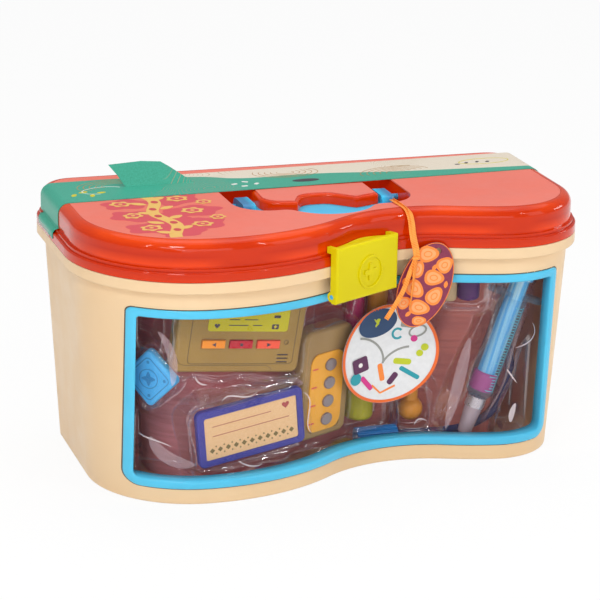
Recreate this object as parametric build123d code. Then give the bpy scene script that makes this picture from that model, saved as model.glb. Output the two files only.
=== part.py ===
from build123d import *
import os
from math import asin, cos, degrees, hypot, radians, sin, sqrt, tan

# Toy doctor case: a moulded tub with a drafted S-curved front and a windowed bay, a hinged lid
# with a folding handle in a well, a snap latch, and a toy set seated on a clear tray.
# Millimetres, +X right, -Y towards the window, +Z up. Until the last step Y counts from a
# line through the case's middle, and the finished pieces are then centred on their box.

# Case plan, at the height of the rim
case_length = 320.0
stretch = case_length / 320.0   # places in plan follow the length
side_end_y = -11.4 * stretch    # the left side runs straight from the back to here
back_y = 84.2 * stretch
back_corner = 20.0
end_reach = 57.7           # the right end's round keeps its size when the length changes
front_stretch = (case_length - end_reach) / (320.0 - end_reach)
front_radii = tuple(radius * front_stretch for radius in (73.6, 134.2, 75.7, 200.0))
front_turns = (85.0, 41.35, -57.1, 9.6)

# Tub
rim_z = 136.3
draft = 8.44            # how far the walls lean in from the rim to the floor
wall = 2.5
floor = 2.5
bottom_round = 1.5
rim_height = 7.0
rim_outset = 4.84
rim_round = 0.8
spigot_height = 3.0
spigot_wall = 2.2

# Lid
lid_gap = 0.3
flange_height = 5.8
flange_round = 1.2
step_outset = 3.2
step_height = 1.8
dome_outset = 1.5
dome_height = 16.36
dome_round = 6.5
lid_wall = 2.3
lid_top = 2.36
inner_round = 4.5
inlay_inset = 5.55
inlay_thick = 0.8
spigot_clearance = 2.6

# Well for the handle, x from the case's middle
well_left = -58.5
well_right = 57.0
well_front = -28.0
well_back = 52.0
well_corner = 22.0
well_back_corner = 8.0
bulge_radius = 30.0
bulge_y = -15.0
bulge_blend = 8.0
well_wall = 2.0
well_floor = 1.9
well_floor_top = 145.6

# Handle
pivot_y = 14.0
pivot_z = 159.5
pivot_pin_radius = 2.0
grip_half = 44.0
grip_front = -22.0
grip_back = 24.0
grip_corner = 20.0
grip_back_corner = 4.0
grip_top = 160.1
grip_height = 8.1
grip_wall = 2.2
arm_width = 8.0
arm_side_gap = 8.5
arm_front = -5.0
arm_back = 19.0
arm_height = 11.5
arm_round = 4.5
cover_height = 6.5
cover_wall = 2.0
cover_round = 1.8
cover_inlay = 0.5
cover_inlay_inset = 2.2
cover_corners = ((-36.5, 26.5), (-38.2, -5.2), (-17.0, -10.4), (-9.5, 5.6),
                 (7.5, 5.6), (22.0, -8.5), (39.0, -1.8), (39.0, 26.5))
cover_corner_rounds = (3.0, 14.0, 0.8, 10.0, 12.0, 4.0, 2.5, 3.0)

# Window frame, x inwards from the ends of the case
frame_left = 20.8
frame_right = 18.0
frame_bottom = 10.3
frame_top = 125.0
frame_face = 5.8
frame_proud = 1.2
frame_seat = 3.0
frame_reveal = 8.0
frame_top_corner = 3.5
frame_bottom_corner = 9.0
pane_thick = 1.2
pane_lap = 2.0
sticker_radius = 33.0
sticker_thick = 0.25

# Latch
latch_x = 10.2 * stretch
latch_setout = 14.9     # from the wall out to the middle of the plate, along Y
latch_turn = 28.0
latch_width = 54.0
latch_bottom = 120.5
latch_top = 155.2
latch_plate = 2.2
latch_round = 1.6
latch_depth = 26.0
latch_clearance = 0.55
latch_pin_back = 4.6
latch_pin_z = 124.5
latch_pin_radius = 1.4
latch_boss = 3.3
latch_dish = 5.5
ear_spread = 30.0
ear_thick = 3.0
ear_radius = 2.3

# Lid hinge
hinge_back = 5.4        # from the rim's back face out to the axis
hinge_z = 141.0
knuckle_radius = 4.5
hinge_pin_radius = 2.0
hinge_spread = 180.0 * stretch
lid_knuckle = 12.0
tub_knuckle = 4.0
hinge_side_gap = 0.3

# Tray and card behind the toys
tray_depth = 36.0
tray_lip = 9.7
tray_wall = 0.8
tray_top = 133.0
tray_return = 14.0      # how far its ends run back along the sides
card_thick = 0.8
seat_gap = 0.25
card_seat_trim = (22.0, 8.0)    # how much smaller a flat toy's seat is than the toy
tester_seat_trim = 10.0
scope_seat = 30.0
tip_seat = (22.0, 12.0)
hammer_seat = (16.0, 20.0)
syringe_seat = 40.0

# Fits
fit = 0.1
pin_fit = 0.06
glue_gap = 0.05

# Paper sleeve across the lid, its edges in plan as a place and a slope from the middle
band_front = (24.1 * stretch, 0.039)
band_back = (71.0 * stretch, 0.022)
band_thick = 0.4
band_gap = 0.1
band_foot = 1.0         # how far above the lid's ledge the ends stop
tape_span = (30.0 * stretch, 66.0 * stretch)
tape_thick = 0.3

# Flap cut from the sleeve and bent up, x from the left end
flap_from_left = 70.5
flap_y = 48.0 * stretch
flap_lean = 25.0
flap_outline = ((-22.5, 0), (22.5, 0), (7.0, 11.5), (1.7, 15.0), (-11.0, 16.0), (-32.0, 14.8),
                (-27.0, 8.0))

# Tag and its ribbon, each point from the left end, from the front wall beside the tag, and up
tag_from_left = 212.0
tag_setout = 8.31
tag_z = 121.0
tag_turn = -5.0
tag_tilt = -20.0
tag_long = 28.0
tag_short = 16.5
tag_thick = 1.0
tag_hole = 2.2
tag_hole_inset = 5.5
ribbon_width = 4.0
ribbon_thick = 0.8
ribbon_over = ((199.5, 20.9, 168.3), (201.0, 4.9, 168.3), (202.5, -0.7, 166.4),
               (203.3, -3.5, 161.5), (203.6, -6.3, 151.4), (204.6, -10.5, 143.5))
ribbon_knot = (205.0, -10.7, 139.0)
ribbon_left_tail = ((201.5, -10.7, 131.0), (198.3, -10.9, 121.0), (193.5, -11.1, 112.0),
                    (186.5, -11.1, 101.5))
ribbon_right_tail = ((204.2, -10.9, 131.0), (203.6, -11.1, 121.0), (202.0, -11.1, 109.5))

# Toys. Each place is (from the left end, height, setback, turn, roll) of its front face.
pager_at = (93.0, 100.0, 23.7, 6.5, -7.0)
pager_size = (83.0, 49.0, 10.5)
pager_round = 5.0
screen_size = (53.0, 18.0, 0.9)
screen_at = (4.1, 11.0)
button_size = (15.0, 5.1)
button_pitch = 18.1
button_at = (0.8, -6.0)
button_proud = 1.4
button_travel = 1.2
button_well = 4.4
button_gap = 0.3
led_at = (31.0, -4.8)
led_radius = 1.3
slot_size = (7.3, 1.0, 0.8)
slot_at = (29.8, -15.2)
slot_pitch = 2.3
badge_at = (100.0, 40.0, 17.5, 10.0, 6.5)
badge_size = (72.0, 37.5, 4.0)
badge_round = 4.0
badge_border = 4.6
card_sink = 1.2
card_sheet = 0.6
tester_at = (152.0, 60.0, 16.8, 29.0, -1.5)
tester_size = (42.0, 72.0, 12.0)
tester_centre = (3.0, -2.0)
tester_round = 6.0
panel_size = (30.0, 52.0, 1.4)
panel_centre = (2.0, -7.4)
panel_sink = 0.5
lens_first = (3.8, 10.2)
lens_pitch = 12.0
lens_size = (9.5, 8.0, 1.4)
lens_count = 4
scope_at = (186.0, 50.0, 16.9, 8.0, 0.0)
scope_radius = 9.3
scope_span = (-27.2, 24.0)
scope_head_rod = (-7.8, 5.8, 62.0)
scope_tip_rod = (8.0, 6.4, 62.0)
scope_tip_start = 38.0
bulb_at = (218.5, 34.0, 17.7, -9.0, 0.0)
bulb_radius = 8.0
bulb_neck = (4.5, 16.0)
hammer_at = (245.0, 115.0, 18.9, -14.0, 0.0)
handle_rod = (-7.7, 4.6)
knob_rod = (4.4, 7.3)
hammer_span = (-14.0, 14.0)
syringe_at = (251.5, 11.4, 20.2, -6.0, -18.3)
syringe_tilt = 0.5
nozzle_length = 19.0
nozzle_tip = 4.4
nozzle_root = 5.9
collar_length = 7.0
collar_radius = 6.3
shoulder_length = 4.0
barrel_radius = 9.0
barrel_wall = 1.0
barrel_end = 95.0
finger_bar = (37.0, 10.5, 3.0)
stopper_start = 30.8
stopper_length = 12.4
stopper_gap = 0.2
plunger_radius = 6.0
plunger_end = 108.0
thumb_rest = (8.0, 2.5)
block_at = (37.0, 75.0, 17.9, -42.0, 45.0)
block_size = (27.0, 6.0)
bell_from_left = 208.0
bell_length = 27.0
bell_radius = 6.5
bell_setback = 17.0
bell_z = 12.0
bell_flutes = 16
flute_radius = 0.9
hose_radius = 2.75
hose_route = ((287.3, 29.8, 61.0), (289.0, 28.5, 50.7), (288.0, 28.9, 39.0), (282.6, 31.1, 28.6),
              (274.3, 32.8, 20.6), (265.0, 32.7, 14.6), (254.5, 30.8, 10.9), (241.0, 26.8, 9.8),
              (224.5, 20.4, 11.2))

# Sticker on the pane, x from the left end
sticker_from_left = 196.5
sticker_z = 71.0

half = case_length / 2
left_x = -half
rim_top = rim_z + rim_height
lid_z = rim_top + lid_gap
flange_top = lid_z + flange_height
step_top = flange_top + step_height
dome_top = step_top + dome_height
rim_back = back_y + rim_outset
hinge_y = rim_back + hinge_back
tray_end = side_end_y + tray_return
window_back = side_end_y - 12.0
front_limit = -back_y - 40
draft_angle = degrees(asin(draft / hypot(draft, rim_z)))


def front_arcs(grow):
    # Centre, radius, heading at the start and turn of each arc, offset outwards by grow
    x, y, heading = left_x, side_end_y, -90.0
    arcs = []
    for radius, turn in zip(front_radii, front_turns):
        side = 1 if turn > 0 else -1
        cx = x - side * radius * sin(radians(heading))
        cy = y + side * radius * cos(radians(heading))
        arcs.append((cx, cy, radius + side * grow, heading, turn))
        heading += turn
        x = cx + side * radius * sin(radians(heading))
        y = cy - side * radius * cos(radians(heading))
    radius = (half - x) / (1 - sin(radians(heading)))
    cx = x - radius * sin(radians(heading))
    cy = y + radius * cos(radians(heading))
    arcs.append((cx, cy, radius + grow, heading, 90 - heading))
    return arcs


def outline(grow, z=0.0):
    # The closed plan of the case, offset by grow and laid at height z
    lines = []
    for cx, cy, radius, heading, turn in front_arcs(grow):
        start = heading - 90 if turn > 0 else heading + 90
        lines.append(CenterArc((cx, cy), radius, start, turn))
    side, back = half + grow, back_y + grow
    corner = max(back_corner + grow, 1.0)
    right_y = lines[-1] @ 1
    lines.append(Line(right_y, (side, back - corner)))
    lines.append(CenterArc((side - corner, back - corner), corner, 0, 90))
    lines.append(Line((side - corner, back), (corner - side, back)))
    lines.append(CenterArc((corner - side, back - corner), corner, 90, 90))
    lines.append(Line((-side, back - corner), lines[0] @ 0))
    return Pos(0, 0, z) * make_face(Curve() + lines)


def slab(grow, bottom, top):
    # Upright walls
    return extrude(outline(grow, bottom), top - bottom)


def lean(z):
    # How far the drafted wall stands in at height z
    return -draft * (1 - z / rim_z)


def drafted(grow, bottom, top):
    return loft([outline(grow + lean(bottom), bottom), outline(grow + lean(top), top)], ruled=True)


def skin(outer, inner, bottom, top):
    # A sheet that follows the drafted wall between two offsets
    return drafted(outer, bottom, top) - drafted(inner, bottom - 1, top + 1)


def wall_point(x, z):
    # The front wall's Y at one x and height
    grow = lean(z)
    for cx, cy, radius, heading, turn in front_arcs(grow):
        side = 1 if turn > 0 else -1
        end = cx + side * radius * sin(radians(heading + turn))
        if x <= end:
            return cy - side * sqrt(radius**2 - (x - cx) ** 2)
    return side_end_y


def from_end(x):
    # X of a place counted from the case's left end
    return left_x + x * stretch


def behind_wall(x, z, setback):
    # A point counted from the left end and back from the front wall
    return Vector(from_end(x), wall_point(from_end(x), z) + setback, z)


def tilted(origin, turn, tilt, roll):
    # A plane facing out of the window: x along the wall, y up the wall, z outwards
    out = Vector(sin(radians(turn)), -cos(radians(turn)), 0)
    normal = out * cos(radians(tilt)) - Vector(0, 0, 1) * sin(radians(tilt))
    along = Vector(cos(radians(turn)), sin(radians(turn)), 0)
    return Plane(Plane(origin, x_dir=along, z_dir=normal).location * Rot(0, 0, roll))


def station(from_left, z, setback, turn, roll=0.0, tilt=draft_angle):
    # The plane of a toy's front face, set back along Y from the wall
    return tilted(behind_wall(from_left, z, setback), turn, tilt, roll)


def box(x0, x1, y0, y1, z0, z1):
    return Pos((x0 + x1) / 2, (y0 + y1) / 2, (z0 + z1) / 2) * Box(x1 - x0, y1 - y0, z1 - z0)


def plate(points, radii):
    # A flat face with rounded corners
    return make_face(FilletPolyline(*points, radius=radii, close=True))


def rounded_rectangle(x0, x1, y0, y1, low_round, high_round):
    points = [(x0, y0), (x1, y0), (x1, y1), (x0, y1)]
    return plate(points, [low_round, low_round, high_round, high_round])


def along_y(face, y0, y1):
    # A face drawn in X and Z, swept from y0 back to y1
    return extrude(Plane.XZ.offset(-y0) * face, y1 - y0, dir=(0, 1, 0))


def along_x(face, x0, x1):
    # A face drawn in Y and Z, swept from x0 to x1
    return extrude(Plane.YZ.offset(x0) * face, x1 - x0, dir=(1, 0, 0))


def rod_x(radius, x0, x1, y, z):
    return Pos((x0 + x1) / 2, y, z) * Rot(0, 90, 0) * Cylinder(radius, x1 - x0)


def window_prism(inset, back):
    # The window's contour, inset from the frame's outer edge, through the front wall
    left, right = left_x + frame_left + inset, half - frame_right - inset
    low, high = frame_bottom + inset, frame_top - inset
    low_round = max(frame_bottom_corner - inset, 2.0)
    high_round = max(frame_top_corner - inset / 3, 2.0)
    face = rounded_rectangle(left, right, low, high, low_round, high_round)
    return along_y(face, front_limit, back)


def latch_plane():
    y = wall_point(latch_x, rim_z) - latch_setout
    along = (cos(radians(latch_turn)), sin(radians(latch_turn)), 0)
    return Plane((latch_x, y, 0), x_dir=along, z_dir=(0, 0, 1))


def ear(middle):
    # One ear on the tub, reaching out from the wall to the latch pin
    back, z, r = latch_pin_back, latch_pin_z, ear_radius
    high = rim_z - 1.0
    low = frame_top + 0.7
    web = Polygon((back - r, z), (back - r, z + 2), (back + 3, high), (latch_depth, high),
                  (latch_depth, low), (back + 3.5, low), (back, z - r), align=None)
    x0, x1 = middle - ear_thick / 2, middle + ear_thick / 2
    return along_x(web, x0, x1) + rod_x(r, x0, x1, back, z)


def latch_pin_rod(radius, length):
    return latch_plane().location * rod_x(radius, -length / 2, length / 2, latch_pin_back, latch_pin_z)


def hinge_sides():
    return [-hinge_spread / 2, hinge_spread / 2]


def make_tub():
    body = drafted(0, 0, rim_z)
    body = fillet(body.faces().sort_by(Axis.Z)[0].edges(), bottom_round)
    rim = slab(rim_outset, rim_z, rim_top)
    rim = fillet(rim.faces().sort_by(Axis.Z)[0].edges(), rim_round)
    body = body + rim + slab(0, rim_top, rim_top + spigot_height)
    for middle in (-ear_spread / 2, ear_spread / 2):
        body += latch_plane().location * ear(middle)
    for x in hinge_sides():
        for side in (-1, 1):
            reach = lid_knuckle / 2 + hinge_side_gap
            x0, x1 = sorted((x + side * reach, x + side * (reach + tub_knuckle)))
            web = Polygon((rim_back - 1, rim_z), (hinge_y, hinge_z - knuckle_radius),
                          (hinge_y, hinge_z), (rim_back - 1, hinge_z), align=None)
            body += along_x(web, x0, x1) + rod_x(knuckle_radius, x0, x1, hinge_y, hinge_z)
    body -= drafted(-wall, floor, rim_z)
    body -= slab(-spigot_wall, rim_z, rim_top + spigot_height)
    body -= window_prism(frame_seat, window_back)
    body -= latch_pin_rod(latch_pin_radius + pin_fit, latch_width)
    for x in hinge_sides():
        reach = lid_knuckle / 2 + tub_knuckle + 1
        body -= rod_x(hinge_pin_radius + pin_fit, x - reach, x + reach, hinge_y, hinge_z)
    return body


def make_window_frame():
    low, high = frame_bottom - 2, frame_top + 2
    face = skin(frame_proud, fit, low, high) & window_prism(0, window_back)
    sleeve = skin(frame_proud, -frame_reveal, low, high) & window_prism(frame_seat + fit, window_back)
    return face + sleeve - window_prism(frame_face, window_back)


def make_window_pane():
    low, high = frame_bottom, frame_top
    front = -frame_reveal - fit
    return skin(front, front - pane_thick, low, high) & window_prism(frame_face - pane_lap, window_back)


def make_hinge_pins():
    reach = lid_knuckle / 2 + hinge_side_gap + tub_knuckle
    return [rod_x(hinge_pin_radius, x - reach, x + reach, hinge_y, hinge_z) for x in hinge_sides()]


def make_latch():
    # A plate with two cheeks, open at the back and bottom, and a hook over the lid's ledge
    half_width = latch_width / 2
    body = box(-half_width, half_width, 0, latch_depth, latch_bottom, latch_top)
    front = body.faces().sort_by(Axis.Y)[0]
    body = fillet(front.edges(), latch_round)
    dish = (latch_plate + latch_dish, latch_top + latch_dish - 2.2)
    body -= rod_x(latch_dish, -half_width + 3, half_width - 3, *dish)
    inside = half_width - latch_plate
    pocket_top = step_top + 0.2
    body -= box(-inside, inside, latch_plate, latch_depth, latch_bottom - 1, pocket_top)
    body -= box(-half_width - 1, half_width + 1, latch_pin_back, latch_depth,
                latch_bottom - 1, latch_pin_z)
    body = latch_plane().location * body
    body -= slab(rim_outset + latch_clearance, latch_bottom - 5, pocket_top)
    body -= slab(dome_outset + latch_clearance, pocket_top - 1, latch_top + 5)
    for side in (-1, 1):
        x0, x1 = sorted((side * inside, side * half_width))
        body += latch_plane().location * rod_x(latch_boss, x0, x1, latch_pin_back, latch_pin_z)
    return body - latch_pin_rod(latch_pin_radius + pin_fit, latch_width + 2)


def make_latch_pin():
    return latch_pin_rod(latch_pin_radius, latch_width)


def well(grow):
    # The plan of the handle's well: a rounded box with a bulge in the front
    x0, x1 = well_left - grow, well_right + grow
    y0, y1 = well_front - grow, well_back + grow
    face = rounded_rectangle(x0, x1, y0, y1, well_corner + grow, well_back_corner + grow)
    face += Pos(0, bulge_y) * Circle(bulge_radius + grow)
    inner = sqrt((bulge_radius + grow) ** 2 - (bulge_y - y0) ** 2)
    near = [v for v in face.vertices() if abs(v.Y - y0) < 0.01 and abs(abs(v.X) - inner) < 0.01]
    return fillet(near, bulge_blend - grow)


def make_lid_shell():
    flange = slab(rim_outset, lid_z, flange_top)
    flange = fillet(flange.faces().sort_by(Axis.Z)[-1].edges(), flange_round)
    dome = slab(dome_outset, step_top, dome_top)
    dome = fillet(dome.faces().sort_by(Axis.Z)[-1].edges(), dome_round)
    body = flange + slab(step_outset, flange_top, step_top) + dome
    ceiling = dome_top - lid_top
    cavity = slab(dome_outset - lid_wall, lid_z + 1, ceiling)
    cavity = fillet(cavity.faces().sort_by(Axis.Z)[-1].edges(), inner_round)
    cavity += slab(spigot_clearance, lid_z - 1, flange_top - 2.0)
    cavity -= extrude(Pos(0, 0, well_floor_top - well_floor) * well(well_wall), dome_height + 10)
    body -= cavity
    body -= extrude(Pos(0, 0, well_floor_top) * well(0), dome_height + 10)
    body -= slab(-inlay_inset, dome_top - inlay_thick, dome_top + 1)
    for x in hinge_sides():
        x0, x1 = x - lid_knuckle / 2, x + lid_knuckle / 2
        web = Polygon((rim_back - 1, flange_top - 1.5), (hinge_y + 1, hinge_z + knuckle_radius - 0.2),
                      (hinge_y, hinge_z), (rim_back + 0.3, lid_z), (rim_back - 1, lid_z), align=None)
        body += along_x(web, x0, x1) + rod_x(knuckle_radius, x0, x1, hinge_y, hinge_z)
        body -= rod_x(hinge_pin_radius + pin_fit, x0 - 1, x1 + 1, hinge_y, hinge_z)
    for x0, x1 in handle_pin_spans():
        body -= rod_x(pivot_pin_radius + glue_gap, x0, x1, pivot_y, pivot_z)
    return body


def make_lid_inlay():
    sheet = slab(-inlay_inset - fit, dome_top - inlay_thick + glue_gap, dome_top)
    return sheet - extrude(Pos(0, 0, dome_top - 2) * well(fit), 4)


def arm_spans():
    # The two arms stand just inside the well's end walls
    return [(well_left + arm_side_gap, well_left + arm_side_gap + arm_width),
            (well_right - arm_side_gap - arm_width, well_right - arm_side_gap)]


def handle_pin_spans():
    left, right = arm_spans()
    return [(well_left - well_wall, left[1] - 2), (right[0] + 2, well_right + well_wall)]


def make_handle_pins():
    return [rod_x(pivot_pin_radius, x0, x1, pivot_y, pivot_z) for x0, x1 in handle_pin_spans()]


def make_handle_grip():
    bottom = grip_top - grip_height
    face = rounded_rectangle(-grip_half, grip_half, grip_front, grip_back,
                             grip_corner, grip_back_corner)
    body = extrude(Pos(0, 0, bottom) * face, grip_height)
    body = fillet(body.faces().sort_by(Axis.Z)[-1].edges(), 1.0)
    hollow = rounded_rectangle(-grip_half + grip_wall, grip_half - grip_wall,
                               grip_front + grip_wall, grip_back - grip_wall,
                               grip_corner - grip_wall, grip_back_corner - grip_wall)
    hollow = extrude(Pos(0, 0, bottom - 1) * hollow, grip_height - grip_wall + 1)
    arm = rounded_rectangle(arm_front, arm_back, pivot_z - arm_height / 2, pivot_z + arm_height / 2,
                            arm_round, arm_round)
    body -= hollow
    for x0, x1 in arm_spans():
        body += along_x(arm, x0, x1)
    for x0, x1 in handle_pin_spans():
        body -= rod_x(pivot_pin_radius + pin_fit, x0, x1, pivot_y, pivot_z)
    return body


def cover_face():
    # The handle's cover in plan, with a finger notch in its front edge
    return plate(cover_corners, cover_corner_rounds)


def make_handle_cover():
    bottom = grip_top + 2 * fit
    face = cover_face()
    body = extrude(Pos(0, 0, bottom) * face, cover_height)
    body = fillet(body.faces().sort_by(Axis.Z)[-1].edges(), cover_round)
    inner = offset(face, -cover_wall)
    return body - extrude(Pos(0, 0, bottom - 1) * inner, cover_height - cover_wall + 1)


def make_handle_inlay():
    face = offset(cover_face(), -cover_inlay_inset)
    return extrude(Pos(0, 0, grip_top + 2 * fit + cover_height + glue_gap) * face, cover_inlay)


def sleeve_plan():
    reach = half + 20
    front, back = [[(x, a + k * x) for x in (-reach, reach)] for a, k in (band_front, band_back)]
    return Polygon(*front, back[1], back[0], align=None)


def over_lid(grow):
    # The outline, end to end, of a sheet laid over the dome
    side, top, r = half + dome_outset + grow, dome_top + grow, dome_round + grow
    return rounded_rectangle(-side, side, lid_z, top, 1.0, r)


def make_paper_band():
    # The sleeve lies on the lid, wraps its ends and has a flap bent up from it
    foot = step_top + band_foot
    sheet = along_y(over_lid(band_gap + band_thick) - over_lid(band_gap), 0, back_y)
    sheet &= box(-half * 2, half * 2, 0, back_y, foot, dome_top * 2)
    sheet &= extrude(sleeve_plan(), dome_top * 2)
    top = dome_top + band_gap + band_thick
    plane = tilted((from_end(flap_from_left), flap_y, top - band_thick), 0, -flap_lean, 0)
    flap = Polygon(*flap_outline, align=None)
    return sheet + plane.location * extrude(flap, band_thick)


def make_band_tape():
    # A clear strip that holds the sleeve's left end to the flange
    grow = rim_outset + band_gap
    ring = slab(grow + tape_thick, lid_z + fit, flange_top - flange_round)
    ring -= slab(grow, lid_z - 1, flange_top)
    return ring & box(-half * 2, 0, *tape_span, 0, dome_top)


def make_hang_tag():
    hole = Pos(0, tag_long - tag_hole_inset) * Circle(tag_hole)
    face = Rot(0, 0, tag_tilt) * (Ellipse(tag_short, tag_long) - hole)
    x = from_end(tag_from_left)
    plane = tilted((x, wall_point(x, rim_z) - tag_setout, tag_z), tag_turn, 0, 0)
    return plane.location * extrude(face, tag_thick)


def beside_tag(x, setback, z):
    # A point of the ribbon, counted back from the wall beside the tag
    return Vector(from_end(x), wall_point(from_end(tag_from_left), rim_z) + setback, z)


def strip(points):
    # Flat ribbon from point to point, its width kept level and a round patch at each bend
    pieces = []
    places = [beside_tag(*point) for point in points]
    for start, end in zip(places, places[1:]):
        run = end - start
        along = run.normalized()
        out = Vector(0, -1, 0) if abs(along.Z) > 0.7 else Vector(0, 0, 1)
        across = along.cross(out).normalized()
        section = Rectangle(ribbon_width, ribbon_thick)
        pieces.append(Plane(start, x_dir=across, z_dir=along).location * extrude(section, run.length))
    return pieces


def make_tag_ribbon():
    # From the well's edge over the lid to the knot above the tag, and two tails
    pieces = strip(ribbon_over + (ribbon_knot,))
    pieces += strip((ribbon_knot,) + ribbon_left_tail)
    pieces += strip((ribbon_knot,) + ribbon_right_tail)
    knot = Pos(beside_tag(*ribbon_knot)) * Sphere(ribbon_width * 0.45)
    return knot.fuse(*pieces)


def tray_floor():
    return floor + 0.3


def tray_outer():
    solid = skin(-tray_lip, -tray_depth - tray_wall, tray_floor(), tray_top)
    return solid & box(-half, half, front_limit, tray_end, 0, rim_z)


def boss(plane, centre, width, height, thick, inset):
    # A block from behind the tray up to just behind a toy's back face
    face = Pos(*centre) * Rectangle(width - 2 * inset, height - 2 * inset)
    solid = extrude(Pos(0, 0, -thick - seat_gap - inset) * face, -tray_depth * 1.5)
    return plane.location * solid


def trimmed(size, across, up):
    return size[0] - across, size[1] - up


def bosses(inset):
    # The seat of each toy: its place, the seat's centre, width and height, the toy's thickness
    between = (handle_rod[0] + knob_rod[0]) / 2
    barrel_middle = (stopper_start + barrel_end) / 2
    tip_middle = (scope_tip_start + scope_tip_rod[2]) / 2
    return [boss(*seat, inset) for seat in (
        (station(*pager_at), (2, 0), *trimmed(pager_size, *card_seat_trim), pager_size[2]),
        (station(*badge_at), (-7, 0), *trimmed(badge_size, *card_seat_trim), badge_size[2]),
        (station(*tester_at), tester_centre, *trimmed(tester_size, tester_seat_trim, tester_seat_trim),
         tester_size[2]),
        (station(*block_at), (0, 0), block_size[0] / 2.5, block_size[0] / 2.5, block_size[1]),
        (station(*scope_at), (0, 0), scope_radius, scope_seat, 2 * scope_radius),
        (station(*scope_at), (0, tip_middle), *tip_seat, 2 * scope_tip_rod[1]),
        (station(*bulb_at), (0, -bulb_radius), bulb_radius, bulb_radius, 2 * bulb_radius),
        (station(*hammer_at), (between, 2), *hammer_seat, 2 * knob_rod[1]),
        (syringe_place(), (0, barrel_middle), barrel_radius, syringe_seat, barrel_radius))]


def make_tray():
    # A clear formed sheet, open to the window, with a hollow seat behind each toy
    outer = tray_outer()
    low, high = tray_floor() + tray_wall, tray_top - tray_wall
    hollow = box(-half, half, front_limit, tray_end - tray_wall, low, high)
    hollow -= drafted(-tray_depth, low - 1, high + 1)
    body = outer - hollow
    for solid in bosses(0):
        body += solid & outer
    for solid in bosses(tray_wall):
        body -= solid
    return body


def make_backing_card():
    front = -tray_depth - tray_wall - 0.2
    sheet = skin(front, front - card_thick, tray_floor(), tray_top)
    return sheet & box(-half, half, front_limit, tray_end, 0, rim_z)


def make_sticker():
    # A round label on the front of the pane
    front = -frame_reveal - fit + glue_gap
    disc = Pos(from_end(sticker_from_left), sticker_z) * Circle(sticker_radius)
    sheet = skin(front + sticker_thick, front, sticker_z - sticker_radius - 2,
                 sticker_z + sticker_radius + 2)
    return sheet & along_y(disc, front_limit, side_end_y)


def block_of(size, depth, corner, edge):
    # A rounded slab behind its front face, the front edge softened
    body = extrude(RectangleRounded(*size, corner), -depth)
    return fillet(body.faces().sort_by(Axis.Z)[-1].edges(), edge)


def button_centres():
    return [(button_at[0] + k * button_pitch, button_at[1]) for k in (-1, 0, 1)]


def make_pager_case():
    body = block_of(pager_size[:2], pager_size[2], pager_round, 2.0)
    body -= extrude(Pos(*screen_at) * RectangleRounded(screen_size[0], screen_size[1], 2), -screen_size[2])
    for centre in button_centres():
        hole = Rectangle(button_size[0] + 2 * button_gap, button_size[1] + 2 * button_gap)
        body -= extrude(Pos(*centre) * hole, -button_well)
    for k in (-1, 0, 1):
        slit = Pos(slot_at[0], slot_at[1] + k * slot_pitch) * Rectangle(*slot_size[:2])
        body -= extrude(slit, -slot_size[2])
    body -= Pos(*led_at, 0) * Cylinder(led_radius, 1.0)
    return station(*pager_at).location * body


def make_pager_screen():
    face = RectangleRounded(screen_size[0] - 2 * fit, screen_size[1] - 2 * fit, 1.9)
    return station(*pager_at).location * extrude(Pos(*screen_at, fit - screen_size[2]) * face, 0.9)


def make_button(centre):
    foot = button_travel + fit - button_well
    body = extrude(Pos(*centre, foot) * Rectangle(*button_size), button_proud - foot)
    body = fillet(body.faces().sort_by(Axis.Z)[-1].edges(), 0.5)
    return station(*pager_at).location * body


def make_badge_frame():
    body = block_of(badge_size[:2], badge_size[2], badge_round, 1.2)
    inner = [side - 2 * badge_border for side in badge_size[:2]]
    return station(*badge_at).location * (body - extrude(RectangleRounded(*inner, 1.5), -card_sink))


def make_badge_card():
    inner = [side - 2 * badge_border - 2 * fit for side in badge_size[:2]]
    face = Pos(0, 0, glue_gap - card_sink) * RectangleRounded(*inner, 1.4)
    return station(*badge_at).location * extrude(face, card_sheet)


def make_tester_body():
    body = block_of(tester_size[:2], tester_size[2], tester_round, 2.5)
    body = Pos(*tester_centre, 0) * body
    pocket = RectangleRounded(panel_size[0] + 2 * fit, panel_size[1] + 2 * fit, 3 + fit)
    return station(*tester_at).location * (body - extrude(Pos(*panel_centre) * pocket, -panel_sink))


def make_tester_panel():
    face = Pos(*panel_centre, glue_gap - panel_sink) * RectangleRounded(*panel_size[:2], 3)
    return station(*tester_at).location * extrude(face, panel_size[2])


def make_tester_lenses():
    top = panel_size[2] - panel_sink + 2 * glue_gap
    lenses = []
    for k in range(lens_count):
        x, y = lens_first[0], lens_first[1] - k * lens_pitch
        lens = extrude(Pos(x, y, top) * Ellipse(lens_size[0] / 2, lens_size[1] / 2), lens_size[2])
        lens = fillet(lens.faces().sort_by(Axis.Z)[-1].edges(), 0.8)
        lenses.append(station(*tester_at).location * lens)
    return lenses


def upright_rod(centre, radius, low, high, edge):
    # A rod along the wall's height, its front on the toy's front face
    rod = Rot(-90, 0, 0) * Cylinder(radius, high - low)
    return Pos(centre, (low + high) / 2, -radius) * fillet(rod.edges().filter_by(GeomType.CIRCLE), edge)


def make_scope_handle():
    rod = upright_rod(0, scope_radius, *scope_span, 3.5)
    return station(*scope_at).location * rod


def make_scope_head():
    centre, radius, top = scope_head_rod
    return station(*scope_at).location * upright_rod(centre, radius, scope_span[1] + fit, top, 1.5)


def make_scope_tip():
    centre, radius, top = scope_tip_rod
    return station(*scope_at).location * upright_rod(centre, radius, scope_tip_start, top, 1.5)


def make_bulb():
    neck, height = bulb_neck
    body = Pos(0, -bulb_radius, -bulb_radius) * Sphere(bulb_radius)
    body += Pos(0, height / 2 - bulb_radius, -bulb_radius) * Rot(90, 0, 0) * Cylinder(neck, height)
    return station(*bulb_at).location * body


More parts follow.
